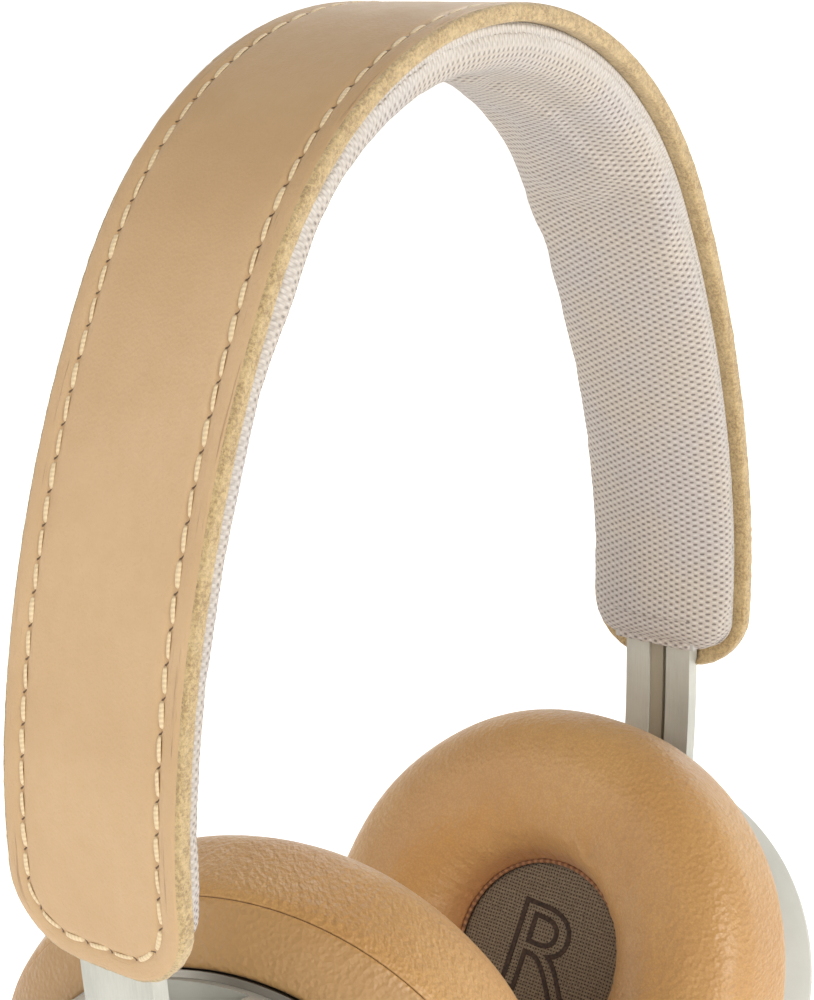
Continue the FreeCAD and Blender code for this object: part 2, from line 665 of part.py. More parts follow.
def build_left_cup():
    frame = cup_frame("left")
    rim = d.housing_radius.value
    jack_angle, mode_angle, microphone_angle = -78, 20, 60
    jack_hole = spoke("jack_hole", Size(3.3), jack_angle, 28, rim - 6, rim + 3)
    usb_hole = usb_block("usb_hole", 0.1, rim - 8.2, rim + 3)
    holes = [jack_hole, usb_hole, button_hole("mode", mode_angle),
             spoke("left_microphone_hole", Size(0.6), microphone_angle, 29, rim - 4, rim + 3)]
    build_housing("left", frame, holes)
    build_acoustics("left", frame)
    build_post("left", frame)
    build_button("noise_control_button", "left", frame, mode_angle)
    mouth, end = rim - 2.2, rim - 2.2 - d.jack_length.value
    barrel = spoke("jack_barrel", Size(3.2), jack_angle, 28, end - 1, mouth)
    bore = spoke("jack_bore", d.jack_bore, jack_angle, 28, end, rim + 1)
    sub_part(cut("jack", barrel, bore), "audio_jack_socket", frame)
    usb_shell = usb_block("usb_shell", 0, rim - 8, rim - 1.6)
    room = usb_block("usb_room", -0.35, rim - 7, rim + 2)
    tongue = usb_block("usb_tongue", -1.2, rim - 7.5, rim - 2.5)
    hollow = cut("usb_hollow", usb_shell, cut("usb_space", room, tongue))
    sub_part(hollow, "usb_socket", frame)
    cell = block("cell", (Size(22), Size(-11), Size(19.6)), (Size(31), Size(11), Size(30.4)))
    cell.Placement = Placement(Vector(), Rotation(Vector(1, 0, 0), 90)) * cell.Placement
    sub_part(cell, "battery", frame * cell.Placement)
    build_board("left", frame)
    build_microphone("left", frame, microphone_angle)


def usb_block(name, grow, start, end):
    """A block the size of a USB socket, set radially near the bottom of the cup."""
    b = block(name, (Size(28 - 1.6 - grow), Size(-4.5 - grow), Size(start)),
              (Size(28 + 1.6 + grow), Size(4.5 + grow), Size(end)))
    b.Placement = Placement(Vector(), Rotation(Vector(1, 0, 0), -118 - 90)) * b.Placement
    return b


def build_right_cup():
    frame = cup_frame("right")
    rim = d.housing_radius.value
    microphone_angle = 120
    places = {"volume_up_button": 200, "volume_down_button": 215}
    slide_angle = 240
    holes = [button_hole(name, angle) for name, angle in places.items()]
    holes.append(slider_block("slider_slot", slide_angle, 2.1, 6.6, rim - 5, rim + 3))
    holes.append(spoke("right_microphone_hole", Size(0.6), microphone_angle, 29, rim - 4, rim + 3))
    build_housing("right", frame, holes)
    build_acoustics("right", frame)
    build_post("right", frame)
    for name, angle in places.items():
        build_button(name, "right", frame, angle)
    knob = slider_block("slider_knob", slide_angle, 1.8, 3.6, rim - 4.7, rim + 0.6)
    foot = slider_block("slider_foot", slide_angle, 2.8, 4.8, rim - 5.3, rim - 4.5)
    sub_part(joined("slider", knob, foot), "power_slider", frame)
    build_board("right", frame)
    build_microphone("right", frame, microphone_angle)


def slider_block(name, angle, half_deep, half_long, start, end):
    """A block in the cup's edge, long along the cup's axis."""
    b = block(name, (Size(28.5 - half_long * 0.5), Size(-half_deep), Size(start)),
              (Size(28.5 + half_long * 0.5), Size(half_deep), Size(end)))
    b.Placement = Placement(Vector(), Rotation(Vector(1, 0, 0), angle - 90)) * b.Placement
    return b


def build_post(side, frame):
    """The cup's post stands on the pit floor and turns on the tilt pins."""
    floor, top = d.pit_floor, d.pivot_depth + d.post_top
    stem = cylinder(side + "_post_stem", d.post_radius, top - floor, (floor, 0, 0))
    foot = cylinder(side + "_post_foot", Size(7.5), Size(1.6), (floor, 0, 0))
    hole = cylinder(side + "_post_hole", d.pin_radius + d.pin_clearance, Size(30),
                    (d.pivot_depth, -15, 0), (0, 1, 0))
    sub_part(cut(side + "_post", joined(side + "_post_solid", stem, foot), hole),
             side + "_pivot_post", frame)


def build_board(side, frame):
    deep, thick = d.baffle_front + d.baffle_thick + 8.6, 0.8
    disc = cylinder(side + "_board_disc", Size(30), Size(thick), (deep, 0, 0))
    columns = screw_columns(side + "_board_hole", Size(2.7), Size(15), Size(12))
    chip = block(side + "_chip", (deep + thick, Size(-4), Size(-28)),
                 (deep + thick * 2, Size(5), Size(-20.5)))
    board = cut(side + "_board_cut", disc, *columns)
    sub_part(joined(side + "_board", board, chip), side + "_circuit_board", frame)


def build_microphone(side, frame, angle):
    rim = d.housing_radius.value
    can = spoke(side + "_microphone_can", Size(1.5), angle, 29, rim - 4.8, rim - 3.2)
    sub_part(can, side + "_microphone", frame * can.Placement)


# ---------------------------------------------------------------- the whole

build_headband()
for side in ("left", "right"):
    build_guide(side)
    build_arm(side)
    build_gimbal(side)
build_left_cup()
build_right_cup()
doc.recompute()

bad = [o.Name for o in doc.Objects if "Invalid" in o.State or "Error" in o.State]
if bad:
    raise SystemExit("failed features: " + ", ".join(bad))
for thing in made:
    if thing.Shape.isNull() or not thing.Shape.isValid() or not thing.Shape.Solids:
        raise SystemExit("bad shape: " + thing.Label)

os.makedirs("parts", exist_ok=True)
for thing in made:
    thing.Shape.exportStep("parts/%s.step" % thing.Label)
    box = thing.Shape.BoundBox
    print("%-24s %8.1f mm3  %d solid  z %.1f to %.1f" % (
        thing.Label, thing.Shape.Volume, len(thing.Shape.Solids), box.ZMin, box.ZMax))
print(len(made), "sub-parts")
for side in ("left", "right"):
    for name, frame in (("arm", arm_frame(side)), ("gimbal", gimbal_frame(side)), ("cup", cup_frame(side))):
        turn = frame.Rotation
        print(side, name, "at", [round(v, 3) for v in frame.Base],
              "X", [round(v, 5) for v in turn.multVec(Vector(1, 0, 0))],
              "Y", [round(v, 5) for v in turn.multVec(Vector(0, 1, 0))],
              "Z", [round(v, 5) for v in turn.multVec(Vector(0, 0, 1))])
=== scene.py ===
import json
import math

import bpy
import numpy as np
from mathutils import Matrix, Vector, noise


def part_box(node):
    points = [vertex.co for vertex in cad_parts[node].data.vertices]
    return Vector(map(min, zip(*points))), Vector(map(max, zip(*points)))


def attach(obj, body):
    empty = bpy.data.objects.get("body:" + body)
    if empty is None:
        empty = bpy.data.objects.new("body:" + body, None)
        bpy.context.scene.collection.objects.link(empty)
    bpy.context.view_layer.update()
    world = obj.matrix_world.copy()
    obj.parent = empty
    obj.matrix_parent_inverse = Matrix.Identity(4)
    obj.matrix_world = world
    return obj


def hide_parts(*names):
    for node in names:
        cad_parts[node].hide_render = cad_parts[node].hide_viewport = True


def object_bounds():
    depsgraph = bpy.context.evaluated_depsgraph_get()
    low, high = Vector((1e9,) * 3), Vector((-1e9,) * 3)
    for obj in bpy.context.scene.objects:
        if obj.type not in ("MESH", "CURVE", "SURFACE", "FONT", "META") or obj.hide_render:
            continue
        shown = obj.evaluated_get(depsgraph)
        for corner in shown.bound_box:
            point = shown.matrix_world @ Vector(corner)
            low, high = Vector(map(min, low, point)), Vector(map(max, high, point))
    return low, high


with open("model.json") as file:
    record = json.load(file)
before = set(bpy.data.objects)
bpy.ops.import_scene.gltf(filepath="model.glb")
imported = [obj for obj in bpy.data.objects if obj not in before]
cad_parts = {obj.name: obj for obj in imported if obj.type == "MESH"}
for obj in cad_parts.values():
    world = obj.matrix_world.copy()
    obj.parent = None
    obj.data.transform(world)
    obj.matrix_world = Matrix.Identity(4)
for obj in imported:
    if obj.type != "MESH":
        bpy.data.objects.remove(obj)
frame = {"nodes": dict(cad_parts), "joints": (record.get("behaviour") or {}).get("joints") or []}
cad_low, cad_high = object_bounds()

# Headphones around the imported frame.  Metres, row frame: +Z up, +X to the wearer's left.
# The soft pieces and the leather are modelled here; the metal and plastic ones are the frame's.

MM = 0.001
SIDES = ("left", "right")

# headband, from the outside in; the arcs are (radius, angle from the vertical where each ends)
BAND_ARCS = ((62.9 * MM, 60.4), (168 * MM, 81.0), (108 * MM, 99.36))
BAND_TOP = cad_high.z
STRAP_HALF, STRAP_THICK, STRAP_CORNER = 16 * MM, 2.6 * MM, 11.5 * MM
LEFT_SHORTER = 1.8 * MM
LINING_HALF, LINING_CORNER, LINING_SHORT = 13.6 * MM, 8.5 * MM, 3.4 * MM
CUSHION_HALF, CUSHION_CORNER, CUSHION_SHORT = 13.9 * MM, 6 * MM, 4.3 * MM
CUSHION_DEPTH, CUSHION_THICK = 2.75 * MM, 8.2 * MM
STITCH_INSET, STITCH_PITCH = 3.8 * MM, 4.5 * MM
PAD_SEAM_OUT = 49.9    # mm along the pad's leather from the edge of its hole to its seam


# ---------------------------------------------------------------- camera, light, floor

def build_camera():
    azimuth, elevation = math.radians(37.26), math.radians(15.846)
    target, distance, roll = Vector((6.214, 0, -61.98)) * MM, 310.24 * MM, -0.02032
    back = Vector((math.cos(azimuth) * math.cos(elevation),
                   math.sin(azimuth) * math.cos(elevation), math.sin(elevation)))
    right = (-back).cross(Vector((0, 0, 1))).normalized()
    up = right.cross(-back)
    right, up = (math.cos(roll) * right + math.sin(roll) * up,
                 math.cos(roll) * up - math.sin(roll) * right)
    data = bpy.data.cameras.new("camera")
    data.lens, data.sensor_width, data.clip_start = 73.88, 36, 0.01
    camera = bpy.data.objects.new("camera", data)
    turn = Matrix((right, up, back)).transposed().to_4x4()
    camera.matrix_world = Matrix.Translation(target + back * distance) @ turn
    bpy.context.scene.collection.objects.link(camera)
    bpy.context.scene.camera = camera


def area_light(name, place, aim, size, power, colour):
    data = bpy.data.lights.new(name, "AREA")
    data.shape, data.size, data.energy, data.color = "DISK", size, power, colour
    light = bpy.data.objects.new(name, data)
    light.location = place
    light.rotation_euler = (Vector(aim) - Vector(place)).to_track_quat("-Z", "Y").to_euler()
    bpy.context.scene.collection.objects.link(light)


def build_lights():
    world = bpy.data.worlds.new("studio")
    world.use_nodes = True
    world.node_tree.nodes["Background"].inputs["Color"].default_value = (1, 0.985, 0.96, 1)
    world.node_tree.nodes["Background"].inputs["Strength"].default_value = 0.2
    bpy.context.scene.world = world
    middle = (0, 0, -0.09)
    area_light("key", (0.9, -0.45, 0.5), middle, 0.5, 1.55, (1, 0.97, 0.93))
    area_light("fill", (0.15, 0.95, 0.25), middle, 0.4, 4.7, (1, 0.98, 0.96))
    area_light("rim", (-0.75, -0.2, 0.55), middle, 0.5, 2.8, (0.96, 0.98, 1))
    bpy.context.scene.view_settings.view_transform = "Standard"


def build_floor():
    """A pale floor that curves up far behind the object, low enough for the arms to slide out fully."""
    rings, spokes, flat, rise = 24, 64, 2.2, 1.6
    points, faces = [(0, 0, 0)], []
    for i in range(1, rings + 1):
        share = i / rings
        reach = flat * share if share < 0.6 else flat * (0.6 + 0.4 * math.sin((share - 0.6) / 0.4 * 1.4))
        height = 0 if share < 0.6 else rise * (1 - math.cos((share - 0.6) / 0.4 * 1.4))
        for j in range(spokes):
            a = 2 * math.pi * j / spokes
            points.append((reach * math.cos(a), reach * math.sin(a), height))
    faces += [(0, 1 + j, 1 + (j + 1) % spokes) for j in range(spokes)]
    for i in range(rings - 1):
        for j in range(spokes):
            k = (j + 1) % spokes
            a, b = 1 + i * spokes, 1 + (i + 1) * spokes
            faces.append((a + j, b + j, b + k, a + k))
    mesh = bpy.data.meshes.new("floor")
    mesh.from_pydata(points, [], faces)
    mesh.shade_smooth()
    floor = bpy.data.objects.new("floor", mesh)
    floor.location.z = cad_low.z - 26 * MM
    bpy.context.scene.collection.objects.link(floor)
    mesh.materials.append(floor_paper())


# ---------------------------------------------------------------- materials

def tint(colour):
    """A colour given as 0 to 255 screen values, in the renderer's linear values."""
    def linear(value):
        share = value / 255
        return share / 12.92 if share < 0.04045 else ((share + 0.055) / 1.055) ** 2.4
    return tuple(linear(v) for v in colour) + (1,)


class Shader:
    """A material being built.  Each method adds a node and gives back what comes out of it."""

    def __init__(self, name, roughness=0.6, **sockets):
        self.material = bpy.data.materials.new(name)
        self.material.use_nodes = True
        self.tree = self.material.node_tree
        self.base = self.tree.nodes["Principled BSDF"]
        self.base.inputs["Roughness"].default_value = roughness
        for socket, value in sockets.items():
            self.base.inputs[socket.replace("_", " ")].default_value = value

    def node(self, kind, out, inputs=None, **settings):
        made = self.tree.nodes.new(kind)
        for key, value in settings.items():
            setattr(made, key, value)
        for key, value in (inputs or {}).items():
            if isinstance(value, bpy.types.NodeSocket):
                self.tree.links.new(value, made.inputs[key])
            else:
                made.inputs[key].default_value = value
        return made.outputs[out]

    def place(self):
        """The point in the row frame at rest, in millimetres."""
        spot = self.node("ShaderNodeTexCoord", "Object")
        return self.node("ShaderNodeVectorMath", 0, {0: spot, 1: (1000, 1000, 1000)}, operation="MULTIPLY")

    def layout(self, name):
        """A layout stored on the mesh, in millimetres."""
        return self.node("ShaderNodeUVMap", "UV", uv_map=name)

    def stretch(self, vector, scale, turn=(0, 0, 0), shift=(0, 0, 0)):
        return self.node("ShaderNodeMapping", "Vector",
                         {"Vector": vector, "Scale": scale, "Rotation": turn, "Location": shift})

    def split(self, vector):
        made = self.node("ShaderNodeSeparateXYZ", "X", {"Vector": vector}).node
        return made.outputs["X"], made.outputs["Y"], made.outputs["Z"]

    def noise(self, vector, scale, detail=3.0, rough=0.55):
        return self.node("ShaderNodeTexNoise", "Fac",
                         {"Vector": vector, "Scale": scale, "Detail": detail, "Roughness": rough})

    def cells(self, vector, scale, feature="F1", smooth=0.4):
        kind = {"feature": feature}
        inputs = {"Vector": vector, "Scale": scale}
        if feature == "SMOOTH_F1":
            inputs["Smoothness"] = smooth
        return self.node("ShaderNodeTexVoronoi", "Distance", inputs, **kind)

    def math(self, operation, a, b=0.0, c=0.0):
        return self.node("ShaderNodeMath", 0, {0: a, 1: b, 2: c}, operation=operation)

    def spread(self, value, low, high, to_low=0.0, to_high=1.0):
        """Maps a value from one range to another with soft ends."""
        return self.node("ShaderNodeMapRange", "Result",
                         {"Value": value, "From Min": low, "From Max": high,
                          "To Min": to_low, "To Max": to_high}, interpolation_type="SMOOTHSTEP")

    def mix(self, share, a, b):
        a = tint(a) if isinstance(a, tuple) else a
        b = tint(b) if isinstance(b, tuple) else b
        return self.node("ShaderNodeMix", 2, {0: share, 6: a, 7: b}, data_type="RGBA")

    def bump(self, height, depth, strength=1.0, under=None):
        """Bump whose height of 1 stands for a real depth in millimetres."""
        inputs = {"Height": height, "Distance": depth * MM, "Strength": strength}
        if under is not None:
            inputs["Normal"] = under
        return self.node("ShaderNodeBump", "Normal", inputs)

    def finish(self, colour=None, roughness=None, normal=None):
        for socket, value in (("Base Color", colour), ("Roughness", roughness), ("Normal", normal)):
            if value is not None:
                self.tree.links.new(value, self.base.inputs[socket])
        return self.material


def plain_material(name, colour, roughness, grain, metal=0.0, pitch=2.5):
    """Moulded or sprayed surface: a little mottling, a fine texture and uneven gloss."""
    s = Shader(name, roughness, Metallic=metal)
    spot = s.place()
    cloud = s.noise(spot, 0.09, 4)
    dust = s.noise(spot, pitch, 2)
    darker = tuple(c * 0.955 for c in colour)
    shade = s.mix(s.spread(cloud, 0.3, 0.7), darker, colour)
    gloss = s.spread(dust, 0.3, 0.7, roughness - 0.06, roughness + 0.06)
    return s.finish(shade, gloss, s.bump(dust, grain))


def brushed_metal(name, colour, roughness, stretch, depth=0.006, metal=1.0):
    """Metal brushed along the axis whose stretch is smallest."""
    s = Shader(name, roughness, Metallic=metal)
    spot = s.place()
    lines = s.noise(s.stretch(spot, stretch), 1.0, 4, 0.7)
    cloud = s.noise(spot, 0.12, 3)
    darker = tuple(c * 0.92 for c in colour)
    shade = s.mix(s.spread(s.math("MULTIPLY_ADD", cloud, 0.5, s.math("MULTIPLY", lines, 0.5)), 0.35, 0.65),
                  darker, colour)
    gloss = s.spread(lines, 0.3, 0.7, roughness - 0.07, roughness + 0.1)
    return s.finish(shade, gloss, s.bump(lines, depth))


def turned_metal(name, colour, roughness, centre, axis, depth=0.005):
    """Metal brushed in rings round an axis."""
    s = Shader(name, roughness, Metallic=1.0)
    spot = s.place()
    away = s.node("ShaderNodeVectorMath", 0, {0: spot, 1: tuple(centre * 1000)}, operation="SUBTRACT")
    along = s.node("ShaderNodeVectorMath", "Value", {0: away, 1: tuple(axis)}, operation="DOT_PRODUCT")
    line = s.node("ShaderNodeVectorMath", 0, {0: tuple(axis), 3: along}, operation="SCALE")
    flat = s.node("ShaderNodeVectorMath", 0, {0: away, 1: line}, operation="SUBTRACT")
    ring = s.node("ShaderNodeVectorMath", "Value", {0: flat}, operation="LENGTH")
    rings = s.noise(s.node("ShaderNodeCombineXYZ", 0, {0: ring, 1: along}), 9.0, 4, 0.7)
    cloud = s.noise(spot, 0.1, 3)
    darker = tuple(c * 0.93 for c in colour)
    shade = s.mix(s.spread(s.math("MULTIPLY_ADD", cloud, 0.5, s.math("MULTIPLY", rings, 0.5)), 0.35, 0.65),
                  darker, colour)
    gloss = s.spread(rings, 0.3, 0.7, roughness - 0.08, roughness + 0.1)
    return s.finish(shade, gloss, s.bump(rings, depth))


def floor_paper():
    s = Shader("floor_paper", 0.95, Emission_Color=(1, 0.995, 0.985, 1), Emission_Strength=0.55)
    fibre = s.noise(s.place(), 0.02, 3)
    return s.finish(s.mix(fibre, (246, 245, 242), (252, 251, 249)))


def strap_leather():
    """Smooth satin leather, a little mottled, with needle holes along the seam; painted shade darkens the holes,
    the stitched groove and the strain creases beside it.
    """
    s = Shader("strap_leather", 0.46, Sheen_Weight=0.08, Sheen_Roughness=0.4)
    spot = s.place()
    cloud = s.noise(spot, 0.05, 3)
    mottle = s.noise(spot, 0.45, 5, 0.6)
    pores = s.cells(s.stretch(spot, (1, 1, 0.8)), 2.1)
    fine = s.noise(spot, 3.2, 3)
    shade = s.mix(s.spread(cloud, 0.3, 0.7), (198, 163, 120), (205, 171, 129))
    shade = s.mix(s.spread(mottle, 0.35, 0.75, 0, 0.25), shade, (197, 162, 118))
    shade = s.mix(s.spread(pores, 0.0, 0.22, 0.22, 0), shade, (150, 112, 72))
    along, inset, _ = s.split(s.layout("Seam"))
    phase = s.math("FRACT", s.math("DIVIDE", along, STITCH_PITCH / MM))
    slant = s.spread(inset, STITCH_INSET / MM - 0.35, STITCH_INSET / MM + 0.35, 0.44, 0.56)
    near = s.math("ABSOLUTE", s.math("SUBTRACT", phase, slant))
    across = s.math("ABSOLUTE", s.math("SUBTRACT", inset, STITCH_INSET / MM))
    # painted shade: each needle hole is painted dark, and the last bump also dents it
    hole = s.math("MULTIPLY", s.spread(near, 0.015, 0.045, 0.8, 0), s.spread(across, 0.2, 0.38, 1, 0))
    # painted shade: the stitched groove is painted darker towards the stitch line
    groove_shade = s.spread(across, 0.1, 0.8, 0.2, 0)
    shade = s.mix(groove_shade, shade, (160, 120, 78))
    shade = s.mix(hole, shade, (66, 42, 24))
    crease_and_shade = s.noise(s.node("ShaderNodeCombineXYZ", 0, {0: s.math("MULTIPLY", along, 0.05),
                                                       1: s.math("MULTIPLY", inset, 1.5)}), 1.0, 3, 0.6)
    margin = s.math("MULTIPLY", s.spread(inset, 0.5, 1.2), s.spread(inset, 3.0, 2.4, 0, 1))
    crease_and_shade = s.math("MULTIPLY", s.spread(crease_and_shade, 0.6, 0.68), margin)
    # painted shade: the strain creases beside the edge are painted darker; the last bump also dents them
    shade = s.mix(s.math("MULTIPLY", crease_and_shade, 0.5), shade, (140, 102, 64))
    shade = s.mix(s.spread(inset, 0.0, 0.5, 0.4, 0), shade, (222, 190, 140))
    gloss = s.spread(mottle, 0.3, 0.7, 0.4, 0.52)
    creases = s.noise(s.stretch(spot, (0.5, 2.4, 0.16)), 0.35, 4, 0.6)
    wrinkles = s.noise(s.node("ShaderNodeCombineXYZ", 0, {0: s.math("MULTIPLY_ADD", inset, 0.5, s.math("MULTIPLY", along, 0.45)),
                                                         1: s.math("MULTIPLY", inset, 0.75)}), 1.0, 4, 0.65)
    normal = s.bump(creases, 0.07)
    normal = s.bump(s.math("MULTIPLY", wrinkles, s.spread(inset, 5.5, 3.4, 0, 1)), 0.16, under=normal)
    normal = s.bump(fine, 0.02, under=normal)
    normal = s.bump(pores, 0.03, under=normal)
    normal = s.bump(s.math("ADD", hole, s.math("MULTIPLY", crease_and_shade, 0.3)), -0.3, under=normal)
    return s.finish(shade, gloss, normal)


def raw_edge():
    """The strap's cut edge: pale suede with dark fibres."""
    s = Shader("raw_edge", 0.95, Sheen_Weight=0.3, Sheen_Roughness=0.7)
    spot = s.place()
    fibre = s.noise(spot, 1.9, 5, 0.75)
    specks = s.noise(spot, 2.3, 2, 0.6)
    shade = s.mix(s.spread(fibre, 0.32, 0.66), (150, 120, 74), (206, 178, 124))
    shade = s.mix(s.spread(specks, 0.6, 0.7, 0, 0.55), shade, (118, 88, 48))
    shade = s.mix(s.spread(s.noise(spot, 0.3, 2), 0.4, 0.7, 0, 0.3), shade, (222, 197, 146))
    normal = s.bump(fibre, 0.28)
    return s.finish(shade, None, s.bump(specks, 0.12, under=normal))


def thread_material():
    s = Shader("stitch_thread", 0.62, Sheen_Weight=0.25)
    along, round_, _ = s.split(s.layout("Thread"))
    twist = s.math("SINE", s.math("MULTIPLY_ADD", along, 8.0, s.math("MULTIPLY", round_, 2 * math.pi)))
    top = s.math("SINE", s.math("MULTIPLY", round_, 2 * math.pi))
    # painted shade: darker in the spiral grooves between the plies, which the bump dents
    shade = s.mix(s.spread(twist, -1, 1), (219, 194, 153), (232, 210, 170))
    # painted shade: the thread's sides and underside, away from its top, are painted darker as its shadowed edge
    shade = s.mix(s.spread(top, 0.3, -0.2, 0, 0.7), shade, (158, 122, 80))
    return s.finish(shade, None, s.bump(twist, 0.02))


def edge_binding():
    """The thin sewn edge of the leather round the hole in each ear pad."""
    s = Shader("edge_binding", 0.6, Sheen_Weight=0.1)
    along, round_, _ = s.split(s.layout("Thread"))
    loops = s.math("SINE", s.math("MULTIPLY", along, 2 * math.pi / 1.3))
    # painted shade: darker between the loops, which the bump dents; lighter on their tops
    shade = s.mix(s.spread(loops, -0.6, 0.9), (128, 86, 56), (172, 124, 84))
    return s.finish(shade, None, s.bump(loops, 0.05))


def woven(name, base, dark, warm, across_pitch, along_pitch):
    """Textile with staggered small gaps between plump threads; the gaps are painted dark as shade, the thread
    tops carry a painted highlight, and the cushion's flank is painted lighter as highlight, with its ribs drawn
    in painted shade.
    """
    s = Shader(name, 0.9, Sheen_Weight=0.2, Sheen_Roughness=0.6)
    spot = s.place()
    u, v, _ = s.split(s.layout("Place"))
    wander = s.math("MULTIPLY_ADD", s.noise(spot, 0.3, 2), 0.5, -0.25)
    rows = s.math("SINE", s.math("MULTIPLY", s.math("ADD", u, wander), 2 * math.pi / along_pitch))
    columns = s.math("SINE", s.math("MULTIPLY", s.math("ADD", v, wander), math.pi / across_pitch))
    lattice = s.math("MULTIPLY", rows, columns)
    fuzz = s.noise(spot, 3.6, 3, 0.7)
    gap = s.spread(s.math("MULTIPLY_ADD", fuzz, 0.35, lattice), 0.4, 0.95)
    flank = s.spread(s.math("ABSOLUTE", v), 14.5, 17.5)
    cords = s.math("SINE", s.math("MULTIPLY", u, 4 * math.pi / along_pitch))
    shade = s.mix(s.spread(s.noise(spot, 0.06, 3), 0.35, 0.65), base, warm)
    # painted highlight on the thread tops, where the bump is highest
    shade = s.mix(s.spread(lattice, -0.3, -0.95, 0, 0.4), shade, (226, 222, 216))
    # painted shade in the gaps between threads, weaker on the flank
    shade = s.mix(s.math("MULTIPLY", gap, s.spread(flank, 0, 1, 0.8, 0.15)), shade, dark)
    # painted highlight: the cushion's flank is painted lighter
    shade = s.mix(s.math("MULTIPLY", flank, 0.6), shade, (212, 207, 200))
    # painted shade: the flank's ribs are drawn as dark stripes
    shade = s.mix(s.math("MULTIPLY", s.spread(cords, 0.2, 1.0, 0, 0.3), flank), shade, dark)
    height = s.math("SUBTRACT", s.math("MULTIPLY", fuzz, 0.35), s.math("MULTIPLY", lattice, 0.8))
    return s.finish(shade, None, s.bump(height, 0.16))


def ribbed_textile():
    """The lining's edge: fine cords across the edge."""
    s = Shader("lining_textile", 0.92, Sheen_Weight=0.25)
    spot = s.place()
    u, v, _ = s.split(s.layout("Place"))
    cord = s.math("SINE", s.math("MULTIPLY", u, 2 * math.pi / 0.85))
    ply = s.math("SINE", s.math("MULTIPLY_ADD", v, 2 * math.pi / 0.5, s.math("MULTIPLY", u, 2.0)))
    fuzz = s.noise(spot, 3.5, 3, 0.7)
    height = s.math("ADD", s.math("MULTIPLY_ADD", ply, 0.2, cord), fuzz)
    # painted shade in the grooves between the cords, lighter on their tops
    shade = s.mix(s.spread(cord, -1.0, 0.2), (176, 170, 163), (216, 212, 207))
    shade = s.mix(s.spread(fuzz, 0.45, 0.8, 0, 0.4), shade, (188, 178, 164))
    return s.finish(shade, None, s.bump(height, 0.09))


def ear_leather():
    """Soft dyed leather with a fine pebble and stretch lines that run to the hole."""
    s = Shader("ear_leather", 0.4, Sheen_Weight=0.1, Coat_Weight=0.06, Coat_Roughness=0.35)
    spot = s.place()
    around, out, _ = s.split(s.layout("Pad"))
    cloud = s.noise(spot, 0.045, 3)
    mottle = s.noise(spot, 0.5, 4, 0.6)
    pebble = s.cells(spot, 1.15, "SMOOTH_F1", 0.35)
    grain = s.cells(spot, 2.6)
    shade = s.mix(s.spread(cloud, 0.3, 0.7), (192, 146, 87), (201, 157, 97))
    shade = s.mix(s.spread(mottle, 0.35, 0.75, 0, 0.25), shade, (184, 137, 79))
    shade = s.mix(s.spread(grain, 0.35, 0.6, 0, 0.16), shade, (150, 98, 54))
    inner = s.spread(out, 6.0, 0.0, 0, 0.45)
    shade = s.mix(inner, shade, (190, 130, 88))
    tucked = s.math("ABSOLUTE", s.math("SUBTRACT", out, PAD_SEAM_OUT + 0.7))
    shade = s.mix(s.spread(out, PAD_SEAM_OUT + 1.5, PAD_SEAM_OUT + 2.2, 0, 0.8), shade, (176, 137, 88))
    # painted shade: a dark line in the tuck of the sewn seam
    shade = s.mix(s.spread(tucked, 0.35, 0.75, 0.85, 0), shade, (84, 54, 28))
    lines = s.noise(s.node("ShaderNodeCombineXYZ", 0, {0: s.math("MULTIPLY", around, 1.6),
                                                      1: s.math("MULTIPLY", out, 0.16)}), 1.0, 4, 0.6)
    slanted = s.math("MULTIPLY_ADD", out, 0.35, around)
    short = s.noise(s.node("ShaderNodeCombineXYZ", 0, {0: s.math("MULTIPLY", slanted, 1.7),
                                                      1: s.math("MULTIPLY", out, 0.6)}), 1.0, 3, 0.5)
    on_wall = s.math("MULTIPLY", s.spread(out, 26.0, 38.0), s.spread(out, PAD_SEAM_OUT, PAD_SEAM_OUT - 1, 0, 1))
    gloss = s.spread(mottle, 0.3, 0.7, 0.36, 0.48)
    depth = s.spread(out, 26.0, 2.0, 0.2, 1.0)
    normal = s.bump(s.math("MULTIPLY", lines, depth), 0.2)
    normal = s.bump(s.math("MULTIPLY", short, on_wall), 0.3, under=normal)
    normal = s.bump(pebble, 0.15, under=normal)
    normal = s.bump(grain, 0.03, under=normal)
    return s.finish(shade, gloss, normal)


def mesh_fabric():
    """Open coarse weave in front of the driver."""
    s = Shader("mesh_fabric", 0.88, Sheen_Weight=0.15)
    spot = s.place()
    u, v, _ = s.split(s.layout("Place"))
    wander = s.math("MULTIPLY_ADD", s.noise(spot, 0.3, 2), 0.5, -0.25)
    u = s.math("ADD", u, wander)
    v = s.math("ADD", v, wander)
    pitch = 0.62
    warp = s.math("ABSOLUTE", s.math("SINE", s.math("MULTIPLY", u, math.pi / pitch)))
    weft = s.math("ABSOLUTE", s.math("SINE", s.math("MULTIPLY", v, math.pi / pitch)))
    thread = s.math("MAXIMUM", warp, weft)
    gap = s.spread(thread, 0.45, 0.85, 1, 0)
    fuzz = s.noise(spot, 2.4, 4, 0.7)
    shade = s.mix(s.spread(fuzz, 0.3, 0.7), (112, 98, 80), (158, 143, 121))
    shade = s.mix(s.spread(s.math("SUBTRACT", warp, weft), -0.5, 0.5, 0, 0.3), shade, (96, 82, 66))
    shade = s.mix(gap, shade, (44, 35, 28))
    return s.finish(shade, None, s.bump(s.math("ADD", thread, fuzz), 0.12))


def printed_ink():
    s = Shader("letter_ink", 0.7)
    spot = s.place()
    wear = s.noise(spot, 1.6, 4, 0.7)
    shade = s.mix(s.spread(wear, 0.35, 0.7), (40, 26, 20), (78, 58, 44))
    return s.finish(shade, None, s.bump(wear, 0.05))


# ---------------------------------------------------------------- mesh helpers

